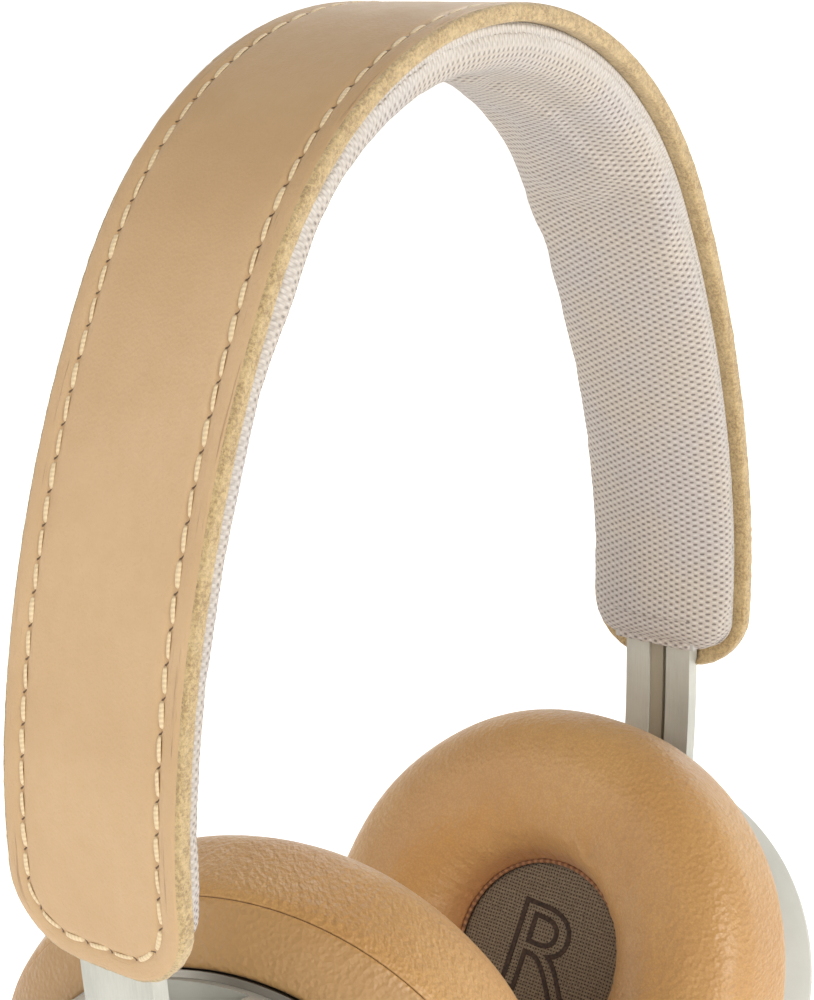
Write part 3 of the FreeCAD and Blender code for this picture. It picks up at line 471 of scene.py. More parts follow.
def new_piece(name, points, faces, body, material, layouts=None, smooth=True):
    """A mesh piece riding on a body.  layouts holds, by name, one (u, v) pair for every face corner."""
    mesh = bpy.data.meshes.new(name)
    mesh.from_pydata([tuple(p) for p in points], [], faces)
    for title, pairs in (layouts or {}).items():
        layer = mesh.uv_layers.new(name=title)
        layer.data.foreach_set("uv", np.asarray(pairs, np.float32).ravel())
    if smooth:
        mesh.shade_smooth()
    piece = bpy.data.objects.new(name, mesh)
    bpy.context.scene.collection.objects.link(piece)
    mesh.materials.append(material)
    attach(piece, body)
    return piece


def corner_pairs(faces, pairs, wrap=0.0):
    """Spreads one (u, v) per point over the face corners; u jumps back by wrap where a ring closes."""
    out = []
    for face in faces:
        us = [pairs[i][0] for i in face]
        high = max(us)
        for i in face:
            u, v = pairs[i]
            out.append((u + wrap if wrap and high - u > wrap / 2 else u, v))
    return out


def band_point(along, depth):
    """The point at a length along the band's outer face from the crown, a depth below that face,
    and the direction out of the face."""
    side, rest = (1 if along >= 0 else -1), abs(along)
    start, cx, cz = 0.0, 0.0, BAND_TOP - BAND_ARCS[0][0]
    for i, (radius, last) in enumerate(BAND_ARCS):
        length = radius * math.radians(last - start)
        if rest <= length or i == len(BAND_ARCS) - 1:
            break
        rest -= length
        step = radius - BAND_ARCS[i + 1][0]
        cx += step * math.sin(math.radians(last))
        cz += step * math.cos(math.radians(last))
        start = last
    angle = math.radians(start) + rest / radius
    out = Vector((side * math.sin(angle), 0, math.cos(angle)))
    return Vector((side * cx, 0, cz)) + out * (radius - depth), out


def band_length():
    start, total = 0.0, 0.0
    for radius, last in BAND_ARCS:
        total += radius * math.radians(last - start)
        start = last
    return total


STRAP_REACH = band_length()
LANE_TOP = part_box("left_arm_guide")[1].z


def on_band(along, across, depth):
    point, _ = band_point(along, depth)
    return Vector((point.x, across, point.z))


def outline(reach, half, corner, step, end_steps=14):
    """The points of a rounded rectangle, each as (core point, direction outwards, length round it).
    Their order follows the edge of a grid: one end, one long side, the other end, the other side."""
    core_u, core_v = reach - corner, half - corner
    ends = [core_v * (2 * j / end_steps - 1) for j in range(end_steps + 1)]
    turns = max(6, int(corner * math.pi / 2 / step))
    side = []
    for i in range(1, turns + 1):
        a = math.pi / 2 * i / turns
        side.append((-core_u, -math.cos(a), math.sin(a)))
    count = int(2 * core_u / step)
    side += [(-core_u + 2 * core_u * i / count, 0.0, 1.0) for i in range(1, count)]
    side += [(core_u, -u, v) for _, u, v in reversed(side[:turns])]
    spots = [((-core_u, v), (-1.0, 0.0)) for v in ends]
    spots += [((c, core_v), (u, v)) for c, u, v in side]
    spots += [((core_u, v), (1.0, 0.0)) for v in reversed(ends)]
    spots += [((c, -core_v), (u, -v)) for c, u, v in reversed(side)]
    return spots, len(ends), len(side)


def ring_point(spot, corner, inset):
    (cu, cv), (nu, nv) = spot
    return cu + nu * (corner - inset), cv + nv * (corner - inset)


def ring_lengths(spots, corner, inset):
    """Length round the outline at an inset, for each of its points, and the whole of it."""
    points = [Vector(ring_point(s, corner, inset)) for s in spots]
    total, lengths = 0.0, []
    for a, b in zip(points, points[1:] + points[:1]):
        lengths.append(total)
        total += (b - a).length
    return lengths, total


def panel(reach, half, corner, step, rings, shape, end_steps=14):
    """A closed panel: rings from the middle of its front round its edge to the middle of its back.
    rings is a list of (inset, depth); the first and the last ring are closed with a grid.
    shape gives the depth of a grid point from its ring's depth and its distance inside the ring.
    Gives points as (along, across, depth, inset, length round), the faces, and the ring size."""
    spots, ends, sides = outline(reach, half, corner, step, end_steps)
    lengths, total = ring_lengths(spots, corner, STITCH_INSET)
    size = len(spots)
    points, faces = [], []
    for inset, depth in rings:
        for spot, length in zip(spots, lengths):
            u, v = ring_point(spot, corner, inset)
            points.append((u, v, depth, inset, length))
    for i in range(len(rings) - 1):
        for j in range(size):
            k = (j + 1) % size
            a, b = i * size, (i + 1) * size
            faces.append((a + j, b + j, b + k, a + k))
    for ring, flip in ((0, False), (len(rings) - 1, True)):
        inset, depth = rings[ring]
        grid = grid_over(ring * size, ends, sides, points, inset, depth, shape)
        faces += [tuple(reversed(f)) for f in grid] if flip else grid
    return points, faces, size, total


def grid_over(first, ends, sides, points, inset, depth, shape):
    """Fills a ring with rows from one long side to the other.  New points are added to points."""
    def low(row):
        return first + ends + sides + ends + (sides - row)

    def high(row):
        return first + ends + row - 1

    rows = [[first + j for j in range(ends)]]
    for row in range(1, sides + 1):
        a, b = points[low(row)], points[high(row)]
        line = [low(row)]
        for j in range(1, ends - 1):
            share = j / (ends - 1)
            u, v = a[0], a[1] + (b[1] - a[1]) * share
            extra = min(abs(v - a[1]), abs(b[1] - v))
            points.append((u, v, shape(depth, extra), inset + extra, 0.0))
            line.append(len(points) - 1)
        line.append(high(row))
        rows.append(line)
    rows.append([first + ends + sides + ends - 1 - j for j in range(ends)])
    faces = []
    for one, two in zip(rows, rows[1:]):
        for j in range(ends - 1):
            faces.append((one[j], one[j + 1], two[j + 1], two[j]))
    return faces


# ---------------------------------------------------------------- strap

def strap_along(along):
    """The strap is sewn on a little short at its left end, where its seam closes up smoothly."""
    return along - LEFT_SHORTER * max(0.0, along / STRAP_REACH) ** 4


def build_strap(leather, edge, thread):
    """The leather strap: a panel with a rounded, fuzzy cut edge and a shallow stitched groove."""
    front = [(6.2, 0.0), (5.0, 0.0), (4.5, 0.04), (4.2, 0.14), (3.95, 0.27), (3.8, 0.3), (3.65, 0.27),
             (3.4, 0.13), (3.1, 0.02), (2.4, -0.05), (1.6, -0.06), (1.0, -0.02), (0.6, 0.06)]
    cut_edge = [(0.36, 0.16), (0.17, 0.3), (0.05, 0.5), (0.0, 0.85), (0.03, 1.2), (-0.02, 1.6),
                (0.04, 2.0), (0.12, 2.35), (0.4, 2.6)]
    back = [(1.5, 2.6), (4.0, 2.6)]
    rings = [(i * MM, d * MM) for i, d in front + cut_edge + back]
    points, faces, size, total = panel(STRAP_REACH, STRAP_HALF, STRAP_CORNER, 0.9 * MM, rings,
                                       lambda depth, extra: depth)
    edge_first, edge_last = len(front) - 1, len(front) + len(cut_edge)
    lane_half, lane_depth = 7.0 * MM, 72.95 * MM
    placed = []
    for i, (u, v, depth, inset, _) in enumerate(points):
        ring = i // size if i < len(rings) * size else -1
        u = strap_along(u)
        p = on_band(u, v, depth)
        _, out = band_point(u, 0)
        if edge_first < ring < edge_last:
            fuzz = (noise.noise(p * 800) * 0.14 + noise.noise(p * 2300) * 0.13) * MM
            if abs(v) / STRAP_HALF > abs(u) / STRAP_REACH - 0.04:
                p.y += math.copysign(fuzz, v)
            else:
                p.z -= fuzz
        elif depth < 0.35 * MM:
            p += out * (noise.noise(p * 60) * 0.12 + noise.noise(p * 230) * 0.03) * MM
        elif abs(v) < lane_half and p.z < LANE_TOP:
            p.x = math.copysign(max(abs(p.x), lane_depth), p.x)
        placed.append(p)
    seam = [(length / MM, inset / MM) for _, _, _, inset, length in points]
    grid_start = size * len(rings)
    place = [(u / MM, v / MM) for u, v, _, _, _ in points]
    strap = new_piece("strap", placed, faces, "headband", leather, {
        "Place": corner_pairs(faces, place),
        "Seam": corner_pairs(faces, seam, total / MM),
    })
    strap.data.materials.append(edge)
    marks = []
    for face in faces:
        ring = face[0] // size if max(face) < grid_start else -1
        raw = ring >= edge_first or (ring < 0 and points[max(face)][2] > 1.5 * MM)
        marks.append(1 if raw else 0)
    strap.data.polygons.foreach_set("material_index", marks)
    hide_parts("leather_strap")
    build_stitches(thread)


def build_stitches(thread):
    """Flat cream stitches that lie in the groove and dive into a hole at each end."""
    spots, _, _ = outline(STRAP_REACH, STRAP_HALF, STRAP_CORNER, 0.5 * MM)
    lengths, total = ring_lengths(spots, STRAP_CORNER, STITCH_INSET)
    count = round(total / STITCH_PITCH)
    pitch = total / count
    line = [Vector(ring_point(s, STRAP_CORNER, STITCH_INSET)) for s in spots]
    line.append(line[0])
    lengths = lengths + [total]

    def at(length):
        length %= total
        i = int(np.searchsorted(lengths, length, "right")) - 1
        share = (length - lengths[i]) / max(lengths[i + 1] - lengths[i], 1e-9)
        return line[i].lerp(line[i + 1], share), (line[i + 1] - line[i]).normalized()

    steps, sides, floor = 14, 8, 0.3 * MM
    points, faces, pairs = [], [], []
    for k in range(count):
        slant = 0.17 * MM * (1 + 0.3 * math.sin(k * 2.4))
        wide = 0.4 * MM * (1 + 0.2 * math.sin(k * 1.7))
        first = len(points)
        for i in range(steps + 1):
            share = i / steps
            spot, along = at((k + 0.5) * pitch + pitch * (0.09 + 0.82 * share))
            normal = Vector((-along.y, along.x))
            shift = slant * (share - 0.5) * 2
            bow = math.sin(math.pi * share) ** 0.28
            u, v = strap_along(spot.x + normal.x * shift), spot.y + normal.y * shift
            centre = on_band(u, v, floor + 0.2 * MM - bow * 0.4 * MM)
            _, out = band_point(u, 0)
            ahead = on_band(u + along.x * 1e-4, v + along.y * 1e-4, 0)
            across = (ahead - on_band(u, v, 0)).normalized().cross(out)
            half, thick = wide * (0.5 + 0.5 * bow), 0.17 * MM
            for j in range(sides):
                a = 2 * math.pi * j / sides
                points.append(centre + across * half * math.cos(a) + out * thick * math.sin(a))
                pairs.append((share * pitch / MM, j / sides))
        for i in range(steps):
            for j in range(sides):
                m = (j + 1) % sides
                a, b = first + i * sides, first + (i + 1) * sides
                faces.append((a + j, a + m, b + m, b + j))
        faces.append(tuple(first + j for j in reversed(range(sides))))
        faces.append(tuple(first + steps * sides + j for j in range(sides)))
    new_piece("strap_stitching", points, faces, "headband", thread,
              {"Thread": corner_pairs(faces, pairs)})


# ---------------------------------------------------------------- lining

def build_lining(textile):
    """The textile binding sewn between strap and cushion, open where each arm comes out."""
    gap = 7.6 * MM
    spots, _, _ = outline(STRAP_REACH - LINING_SHORT, LINING_HALF, LINING_CORNER, 0.45 * MM, 30)
    lengths, _ = ring_lengths(spots, LINING_CORNER, 0)
    top = STRAP_THICK + 0.02 * MM
    section = [(3.6, 0.0), (0.4, 0.0), (0.1, 0.08), (0.0, 0.25), (0.0, 0.55), (0.1, 0.7), (0.4, 0.78),
               (3.6, 0.78)]
    points, pairs, faces = [], [], []
    rows = []
    for spot, length in zip(spots, lengths):
        if spot[1][1] == 0.0 and abs(spot[0][1]) < gap and abs(spot[0][0]) > 0.1:
            rows.append(None)
            continue
        row = []
        ribs = 0.05 * MM * math.cos(2 * math.pi * length / (0.9 * MM))
        for k, (inset, depth) in enumerate(section):
            u, v = ring_point(spot, LINING_CORNER, inset * MM - (ribs if 1 < k < 6 else 0))
            points.append(on_band(u, v, top + depth * MM))
            pairs.append((length / MM, depth + inset))
            row.append(len(points) - 1)
        rows.append(row)
    size = len(section)
    for one, two in zip(rows, rows[1:] + rows[:1]):
        if one is None and two is None:
            continue
        if one is None or two is None:
            cap = two or one
            faces.append(tuple(cap) if one is None else tuple(reversed(cap)))
            continue
        for j in range(size):
            k = (j + 1) % size
            faces.append((one[j], one[k], two[k], two[j]))
    piece = new_piece("lining_binding", points, faces, "headband", textile,
                      {"Place": corner_pairs(faces, pairs)})
    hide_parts("headband_lining")


# ---------------------------------------------------------------- headband cushion

def build_cushion(fabric):
    """The cushion under the band: one knitted cover sewn in under the strap's edge, with a welt near the
    seam, swelled by a cloth simulation.  Its back is hollowed where the arm guides sit."""
    back = [(5.8, 0.0), (3.0, 0.0), (0.9, 0.0)]
    flank = [(0.35, 0.02), (0.08, 0.3), (-0.02, 0.75), (0.05, 1.15), (0.42, 1.5), (0.1, 1.9), (-0.05, 2.5),
             (-0.08, 3.3), (0.05, 4.1), (0.4, 5.0), (1.05, 5.9), (2.0, 6.65), (3.2, 7.2), (4.6, 7.6), (6.2, 7.8)]
    groove_at = len(back) + 4
    rings = [(i * MM, CUSHION_DEPTH + d * MM) for i, d in back + flank]
    belly = CUSHION_THICK - 7.8 * MM
    middle = CUSHION_DEPTH + 2 * MM

    def shape(depth, extra):
        return depth if depth < middle else depth + belly * (1 - math.exp(-extra / (2.5 * MM)))

    def thinner(along, across, depth):
        """Towards its ends the cushion's cross-section turns from flat to crowned."""
        share = min(1.0, max(0.0, (abs(along) / STRAP_REACH - 0.35) / 0.5))
        crowned = 0.34 * share * share * (3 - 2 * share) * min(1.0, abs(across) / CUSHION_HALF) ** 2
        return depth - (depth - CUSHION_DEPTH) * crowned

    points, faces, size, _ = panel(STRAP_REACH - CUSHION_SHORT, CUSHION_HALF, CUSHION_CORNER, 1.3 * MM,
                                   rings, shape, end_steps=12)
    spots, _, _ = outline(STRAP_REACH - CUSHION_SHORT, CUSHION_HALF, CUSHION_CORNER, 1.3 * MM, 12)
    unrolled = [0.0]
    for one, two in zip(rings[::-1], rings[-2::-1]):
        unrolled.append(unrolled[-1] + math.hypot(two[0] - one[0], two[1] - one[1]))
    unrolled = unrolled[::-1]
    placed, place = [], []
    for i, (u, v, depth, _, _) in enumerate(points):
        ring = i // size
        if ring == groove_at:
            open_seam = math.exp(-(u / (62 * MM)) ** 4)
            v -= math.copysign(0.45 * MM * (1 - 2.0 * open_seam), -v)
        placed.append(on_band(strap_along(u), v, thinner(u, v, depth)))
        if ring < len(rings):
            flat = ring_point(spots[i % size], CUSHION_CORNER, rings[-1][0] - unrolled[ring])
            place.append((flat[0] / MM, flat[1] / MM))
        else:
            place.append((u / MM, v / MM))
    faces = [tuple(reversed(f)) for f in faces]
    piece = new_piece("headband_cushion", placed, faces, "headband", fabric,
                      {"Place": corner_pairs(faces, place)})
    seam = [i for i, p in enumerate(points)
            if p[2] < CUSHION_DEPTH + 0.5 * MM or i // size == groove_at]
    swell(piece, seam, pressure=3.0, cap=0.6 * MM, frames=16, shrink=-0.04)
    crumple(piece, points)
    hollow_back(piece, points)
    add_subdivision(piece, 1)
    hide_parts("headband_pad")


def crumple(piece, points):
    """Soft folds across the cushion where the tight bend at the crown squeezes its cover."""
    for vertex, (u, v, depth, _, _) in zip(piece.data.vertices, points):
        if depth < CUSHION_DEPTH + 1.8 * MM:
            continue
        _, out = band_point(u, 0)
        squeeze = math.exp(-(u / (70 * MM)) ** 4)
        fold = noise.noise(Vector((u * 430, v * 60, 1))) + 0.4 * noise.noise(Vector((u * 900, v * 90, 7)))
        vertex.co += out * 0.18 * MM * squeeze * fold


def hollow_back(piece, points):
    """Keeps the cushion's back clear of the guides and the arms."""
    inner_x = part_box("left_arm_guide")[0].x - 0.35 * MM
    half_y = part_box("left_arm_guide")[1].y + 0.5 * MM
    top_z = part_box("left_arm_guide")[1].z + 0.8 * MM
    for vertex, (_, _, depth, _, _) in zip(piece.data.vertices, points):
        spot = vertex.co
        if depth < CUSHION_DEPTH + 1 * MM and abs(spot.y) < half_y and spot.z < top_z:
            spot.x = math.copysign(min(abs(spot.x), inner_x), spot.x)


def add_subdivision(piece, levels):
    modifier = piece.modifiers.new("smooth", "SUBSURF")
    modifier.levels = modifier.render_levels = levels
    bpy.context.view_layer.objects.active = piece
    with bpy.context.temp_override(object=piece, active_object=piece):
        bpy.ops.object.modifier_apply(modifier="smooth")


def swell(piece, pinned, pressure, cap, frames, shrink=0.0):
    """Inflates a closed mesh with cloth simulation; pinned points stay, the rest move by cap at most."""
    before = np.zeros(len(piece.data.vertices) * 3)
    piece.data.vertices.foreach_get("co", before)
    group = piece.vertex_groups.new(name="pinned")
    group.add(pinned, 1.0, "ADD")
    cloth = piece.modifiers.new("cloth", "CLOTH")
    settings = cloth.settings
    settings.quality, settings.mass, settings.air_damping = 6, 0.25, 2.0
    settings.tension_stiffness = settings.compression_stiffness = 12
    settings.shear_stiffness, settings.bending_stiffness = 6, 0.6
    settings.use_pressure, settings.uniform_pressure_force = True, pressure
    settings.shrink_min = shrink
    settings.vertex_group_mass = "pinned"
    settings.effector_weights.gravity = 0
    cloth.collision_settings.use_collision = False
    scene = bpy.context.scene
    scene.frame_start, scene.frame_end = 1, frames
    cloth.point_cache.frame_start, cloth.point_cache.frame_end = 1, frames
    for number in range(1, frames + 1):
        scene.frame_set(number)
    shaped = piece.evaluated_get(bpy.context.evaluated_depsgraph_get())
    after = np.zeros_like(before)
    shaped.data.vertices.foreach_get("co", after)
    piece.modifiers.remove(cloth)
    piece.vertex_groups.remove(group)
    move = (after - before).reshape(-1, 3)
    size = np.linalg.norm(move, axis=1, keepdims=True)
    move *= np.minimum(1.0, cap / np.maximum(size, 1e-9))
    piece.data.vertices.foreach_set("co", (before.reshape(-1, 3) + move).ravel())
    piece.data.update()
    scene.frame_set(1)


# ---------------------------------------------------------------- cups

class Disc:
    """The frame of a round node: centre, axis away from the head, up and sideways directions."""

    def __init__(self, side):
        node = frame["nodes"][side + "_ear_pad"]
        spots = np.array([v.co for v in node.data.vertices])
        tilt = [j for j in frame["joints"] if j["name"] == side + "_cup_tilt"][0]
        pivot = np.array(tilt["pos_m"])
        self.cross = Vector(tilt["axis"]).normalized() * -1
        flat = np.linalg.eigh(np.cov((spots - spots.mean(0)).T))[1][:, 0]
        self.axis = Vector(flat)
        if self.axis.dot(Vector(pivot - spots.mean(0))) < 0:
            self.axis = -self.axis
        self.axis = (self.axis - self.cross * self.axis.dot(self.cross)).normalized()
        self.up = self.axis.cross(self.cross)
        self.centre = Vector(pivot) - self.axis * PIVOT_DEPTH

    def point(self, depth, radius, angle):
        way = self.cross * math.cos(angle) + self.up * math.sin(angle)
        return self.centre + self.axis * depth + way * radius


PIVOT_DEPTH = 34.5 * MM


def quarter(start, end, steps, leaves_level):
    """Points of a quarter of an ellipse from start to end, each (depth, radius).  It leaves start along
    the depth, or else along the radius."""
    points = []
    for i in range(1 if not leaves_level else 0, steps + 1):
        a = math.pi / 2 * i / steps
        if leaves_level:
            share_depth, share_radius = math.sin(a), 1 - math.cos(a)
        else:
            share_depth, share_radius = 1 - math.cos(a), math.sin(a)
        points.append((start[0] + (end[0] - start[0]) * share_depth,
                       start[1] + (end[1] - start[1]) * share_radius))
    return points


def build_ear_pad(side, disc, leather, thread):
    """Leather ring: wall inside the hole, rounded face, sewn seam, smooth skirt, flat back."""
    edge, crown, widest, seam = (1.0, 17.4), (-10.45, 33.0), (0.0, 43.95), (12.0, 43.25)
    profile = [(8.6, 17.35), (5.0, 17.35), (2.6, 17.35)]
    profile += quarter(edge, crown, 12, True) + quarter(crown, widest, 12, False)
    profile += [(2.0, 44.0), (4.0, 44.0), (6.0, 43.95), (8.0, 43.85), (9.6, 43.7), (11.0, 43.5), (11.7, 43.3)]
    seam_at = len(profile)
    profile += [seam, (12.15, 42.75), (11.95, 42.5), (12.1, 42.9), (12.35, 43.1), (12.65, 42.95)]
    profile += [(13.3, 42.3), (14.6, 40.9), (16.0, 39.1), (17.4, 37.1), (18.2, 35.75), (18.35, 35.3)]
    profile += [(18.35, 34.6), (17.0, 34.3), (12.0, 34.3), (9.0, 34.0), (8.9, 26.0)]
    count = 180
    points, faces, pairs = [], [], []
    walked = 0.0
    for i, (depth, radius) in enumerate(profile):
        if i:
            walked += math.hypot(depth - profile[i - 1][0], radius - profile[i - 1][1])
        for j in range(count):
            a = 2 * math.pi * j / count
            points.append(disc.point(depth * MM, radius * MM, a))
            pairs.append((a * 30.0, walked - 8.0))
    rings = len(profile)
    for i in range(rings):
        for j in range(count):
            k = (j + 1) % count
            a, b = i * count, (i + 1) % rings * count
            faces.append((a + j, b + j, b + k, a + k))
    name = side + "_pad_leather"
    piece = new_piece(name, points, faces, side + "_cup", leather,
                      {"Pad": corner_pairs(faces, pairs, 2 * math.pi * 30.0)})
    fixed = [i for i in range(len(points)) if not 3 < i // count < seam_at - 1]
    swell(piece, fixed, pressure=2.2, cap=0.5 * MM, frames=14, shrink=-0.04)
    add_subdivision(piece, 1)
    wrinkle(piece, disc)
    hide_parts(side + "_ear_pad")
    build_hole_seam(side, disc, thread)


def wrinkle(piece, disc):
    """Fine folds: radial near the hole, short cross creases on the outer wall, dimples along the seam."""
    mesh = piece.data
    normals = [v.normal.copy() for v in mesh.vertices]
    for vertex, normal in zip(mesh.vertices, normals):
        away = vertex.co - disc.centre
        depth = away.dot(disc.axis) / MM
        flat = away - disc.axis * away.dot(disc.axis)
        radius = flat.length / MM
        if depth > 8.0 and radius < 34.5:
            continue
        angle = math.atan2(flat.dot(disc.up), flat.dot(disc.cross))
        way = Vector((math.cos(angle), math.sin(angle), 0))
        near_hole = max(0.0, 1 - abs(radius - 19.0) / 9.0)
        folds = noise.noise(way * 16 + Vector((0, 0, radius * 0.05)))
        folds += 0.5 * noise.noise(way * 34 + Vector((5, 0, radius * 0.08)))
        wall = max(0.0, 1 - abs(depth - 6.0) / 6.0) if radius > 36 else 0.0
        creases = noise.noise(Vector((angle * 26 + depth * 0.2, depth * 0.5, 2)))
        skirt = min(max(0.0, depth - 12.4), 1.0) * max(0.0, 1 - abs(depth - 15.5) / 3.2)
        ripples = noise.noise(Vector((angle * 8, depth * 0.25, 9)))
        soft = noise.noise(vertex.co * 55) if depth < 11.5 else 0.0
        vertex.co += normal * MM * (0.15 * near_hole * folds + 0.10 * wall * creases + 0.16 * soft
                                    + 0.16 * skirt * ripples)
    mesh.update()


def build_hole_seam(side, disc, thread):
    """The bound edge between the leather's inner wall and the speaker cloth."""
    count, sides = 240, 8
    points, faces, pairs = [], [], []
    for j in range(count):
        a = 2 * math.pi * j / count
        pulse = 0.09 * abs(math.sin(a * 45))
        for k in range(sides):
            b = 2 * math.pi * k / sides
            radius = 17.05 + (0.34 + pulse) * math.cos(b)
            depth = 1.55 + (0.34 + pulse) * math.sin(b)
            points.append(disc.point(depth * MM, radius * MM, a))
            pairs.append((a * 17.0, k / sides))
    for j in range(count):
        n = (j + 1) % count
        for k in range(sides):
            m = (k + 1) % sides
            faces.append((j * sides + k, j * sides + m, n * sides + m, n * sides + k))
    new_piece(side + "_hole_binding", points, faces, side + "_cup", thread,
              {"Thread": corner_pairs(faces, pairs, 2 * math.pi * 17.0)})


def build_speaker_cloth(side, disc, fabric, ink):
    """Speaker cloth stretched over its ring, dished a little, with the side's letter printed on it."""
    rings, count, edge = 26, 120, 16.75
    points, faces, pairs = [], [], []

    def face_depth(radius):
        return 2.35 - 0.5 * (radius / edge) ** 2 + 0.5 * max(0, radius / edge - 0.93) * 4

    points.append(disc.point(face_depth(0) * MM, 0, 0))
    pairs.append((0, 0))
    profile = [(face_depth(edge * i / rings), edge * i / rings) for i in range(1, rings + 1)]
    profile += [(3.6, 16.78), (8.9, 16.78), (8.9, 15.8), (3.4, 15.8)]
    for depth, radius in profile:
        for j in range(count):
            a = 2 * math.pi * j / count
            points.append(disc.point(depth * MM, radius * MM, a))
            pairs.append((radius * math.cos(a), radius * math.sin(a)))
    faces += [(0, 1 + (j + 1) % count, 1 + j) for j in range(count)]
    for i in range(len(profile) - 1):
        for j in range(count):
            k = (j + 1) % count
            a, b = 1 + i * count, 1 + (i + 1) * count
            faces.append((a + j, a + k, b + k, b + j))
    back = len(points)
    points.append(disc.point(3.2 * MM, 0, 0))
    pairs.append((0, 0))
    last = 1 + (len(profile) - 1) * count
    faces += [(last + j, last + (j + 1) % count, back) for j in range(count)]
    piece = new_piece(side + "_speaker_cloth", points, faces, side + "_cup", fabric,
                      {"Place": corner_pairs(faces, pairs)})
    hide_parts(side + "_ear_mesh")
    build_letter(side, disc, ink, face_depth)


def build_letter(side, disc, ink, face_depth):
    """The outlined letter that names the channel."""
    text = bpy.data.curves.new(side + "_letter", "FONT")
    text.body = side[0].upper()
    text.size, text.align_x, text.align_y = 23 * MM, "CENTER", "CENTER"
    text.fill_mode, text.bevel_depth, text.bevel_resolution = "NONE", 0.45 * MM, 2
    text.resolution_u = 16
    holder = bpy.data.objects.new(side + "_letter_curve", text)
    bpy.context.scene.collection.objects.link(holder)
    bpy.context.view_layer.update()
    mesh = bpy.data.meshes.new_from_object(holder.evaluated_get(bpy.context.evaluated_depsgraph_get()))
    bpy.data.objects.remove(holder)
    sideways = disc.axis.cross(disc.up)
    lean = math.radians(-4)
    for vertex in mesh.vertices:
        vertex.co.x *= 1.16
        x = vertex.co.x * math.cos(lean) - vertex.co.y * math.sin(lean)
        y = vertex.co.x * math.sin(lean) + vertex.co.y * math.cos(lean)
        depth = face_depth(math.hypot(x, y) / MM) * MM - vertex.co.z * 0.25
        vertex.co = disc.centre + sideways * x + disc.up * y + disc.axis * depth
    mesh.materials.clear()
    mesh.materials.append(ink)
    mesh.shade_smooth()
    letter = bpy.data.objects.new(side + "_channel_letter", mesh)
    bpy.context.scene.collection.objects.link(letter)
    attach(letter, side + "_cup")


# ---------------------------------------------------------------- the frame's own nodes

def soften_edges(node, width):
    """Breaks the sharp edges of a frame node so that they catch the light."""
    bevel = frame["nodes"][node].modifiers.new("edges", "BEVEL")
    bevel.width, bevel.segments = width, 2
    bevel.limit_method, bevel.angle_limit = "ANGLE", math.radians(40)
    bevel.harden_normals = False


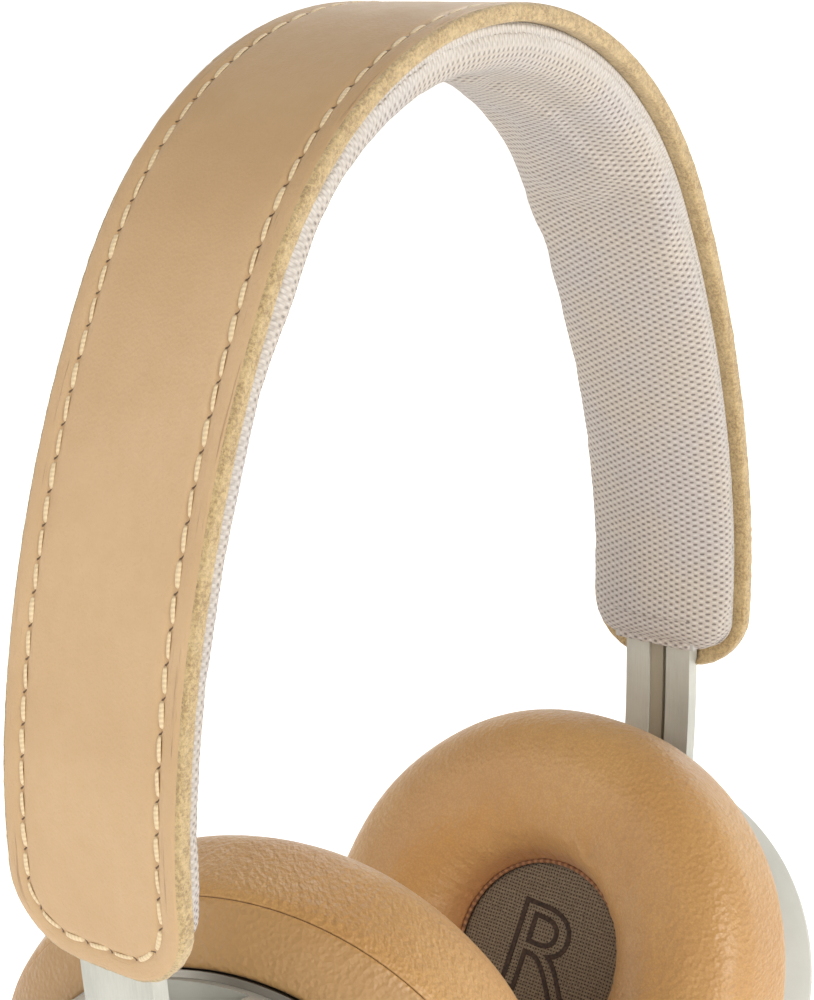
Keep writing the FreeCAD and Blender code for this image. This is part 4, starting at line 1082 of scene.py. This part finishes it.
def finish_nodes(discs):
    """Gives every node of the frame that stays its own material."""
    arm = brushed_metal("arm_aluminium", (200, 200, 191), 0.42, (5.0, 5.0, 0.12), metal=0.3)
    common = {
        "spring_band": brushed_metal("spring_steel", (170, 170, 172), 0.3, (0.1, 4, 0.1)),
        "headband_cable": plain_material("cable_sleeve", (52, 50, 50), 0.6, 0.02),
        "audio_jack_socket": brushed_metal("socket_metal", (196, 190, 180), 0.3, (3, 3, 3)),
        "usb_socket": brushed_metal("usb_metal", (188, 188, 188), 0.28, (3, 3, 3)),
        "battery": plain_material("battery_wrap", (66, 74, 92), 0.4, 0.01),
    }
    for name in ("noise_control_button", "volume_up_button", "volume_down_button", "power_slider"):
        common[name] = brushed_metal(name + "_metal", (206, 201, 192), 0.34, (4, 4, 0.3))
    for side in SIDES:
        disc = discs[side]
        face = disc.centre + disc.axis * PIVOT_DEPTH
        plate = turned_metal(side + "_plate_aluminium", (208, 203, 194), 0.34, face, disc.axis)
        shell = plain_material(side + "_housing_shell", (190, 189, 180), 0.34, 0.012, 0.1)
        common.update({
            side + "_arm": arm,
            side + "_arm_guide": plain_material(side + "_guide_plastic", (192, 189, 184), 0.6, 0.03),
            side + "_arm_cable_strip": plain_material(side + "_strip_plastic", (158, 149, 130), 0.5, 0.03),
            side + "_stop_plate": plain_material(side + "_stop_plastic", (60, 58, 56), 0.5, 0.02),
            side + "_arm_cap": turned_metal(side + "_cap_aluminium", (212, 207, 198), 0.3, face, disc.axis),
            side + "_swivel_pins": brushed_metal(side + "_pin_steel", (176, 174, 170), 0.25, (3, 3, 0.3)),
            side + "_tilt_pins": brushed_metal(side + "_tilt_steel", (176, 174, 170), 0.25, (3, 0.3, 3)),
            side + "_gimbal_ring": brushed_metal(side + "_gimbal_metal", (184, 180, 172), 0.35, (2, 4, 2)),
            side + "_pivot_post": brushed_metal(side + "_post_metal", (182, 178, 170), 0.35, (0.5, 4, 4)),
            side + "_housing": shell,
            side + "_outer_plate": plate,
            side + "_bezel": turned_metal(side + "_bezel_metal", (150, 146, 138), 0.4, face, disc.axis),
            side + "_baffle": plain_material(side + "_baffle_plastic", (44, 42, 40), 0.6, 0.03),
            side + "_baffle_screws": brushed_metal(side + "_screw_steel", (150, 150, 150), 0.3, (3, 3, 3)),
            side + "_driver_frame": plain_material(side + "_basket_plastic", (50, 48, 46), 0.5, 0.02),
            side + "_driver_magnet": brushed_metal(side + "_magnet_metal", (150, 150, 154), 0.3, (3, 3, 3)),
            side + "_voice_coil": brushed_metal(side + "_coil_copper", (190, 118, 74), 0.35, (0.4, 4, 4)),
            side + "_diaphragm": plain_material(side + "_membrane", (120, 116, 108), 0.3, 0.01),
            side + "_circuit_board": plain_material(side + "_board_fibreglass", (38, 84, 58), 0.45, 0.03),
            side + "_microphone": brushed_metal(side + "_microphone_metal", (180, 176, 168), 0.3, (3, 3, 3)),
        })
        soften_edges(side + "_arm", 0.28 * MM)
        soften_edges(side + "_arm_cap", 0.2 * MM)
        soften_edges(side + "_bezel", 0.15 * MM)
        soften_edges(side + "_outer_plate", 0.12 * MM)
    for name, material in common.items():
        mesh = frame["nodes"][name].data
        mesh.materials.clear()
        mesh.materials.append(material)


# ---------------------------------------------------------------- the whole

build_camera()
build_lights()
build_floor()
build_strap(strap_leather(), raw_edge(), thread_material())
build_lining(ribbed_textile())
build_cushion(woven("band_textile", (187, 178, 173), (104, 93, 86), (191, 180, 168), 1.06, 1.3))
discs = {side: Disc(side) for side in SIDES}
pad_leather, cloth, ink, binding = ear_leather(), mesh_fabric(), printed_ink(), edge_binding()
for side in SIDES:
    build_ear_pad(side, discs[side], pad_leather, binding)
    build_speaker_cloth(side, discs[side], cloth, ink)
finish_nodes(discs)

bpy.context.view_layer.update()
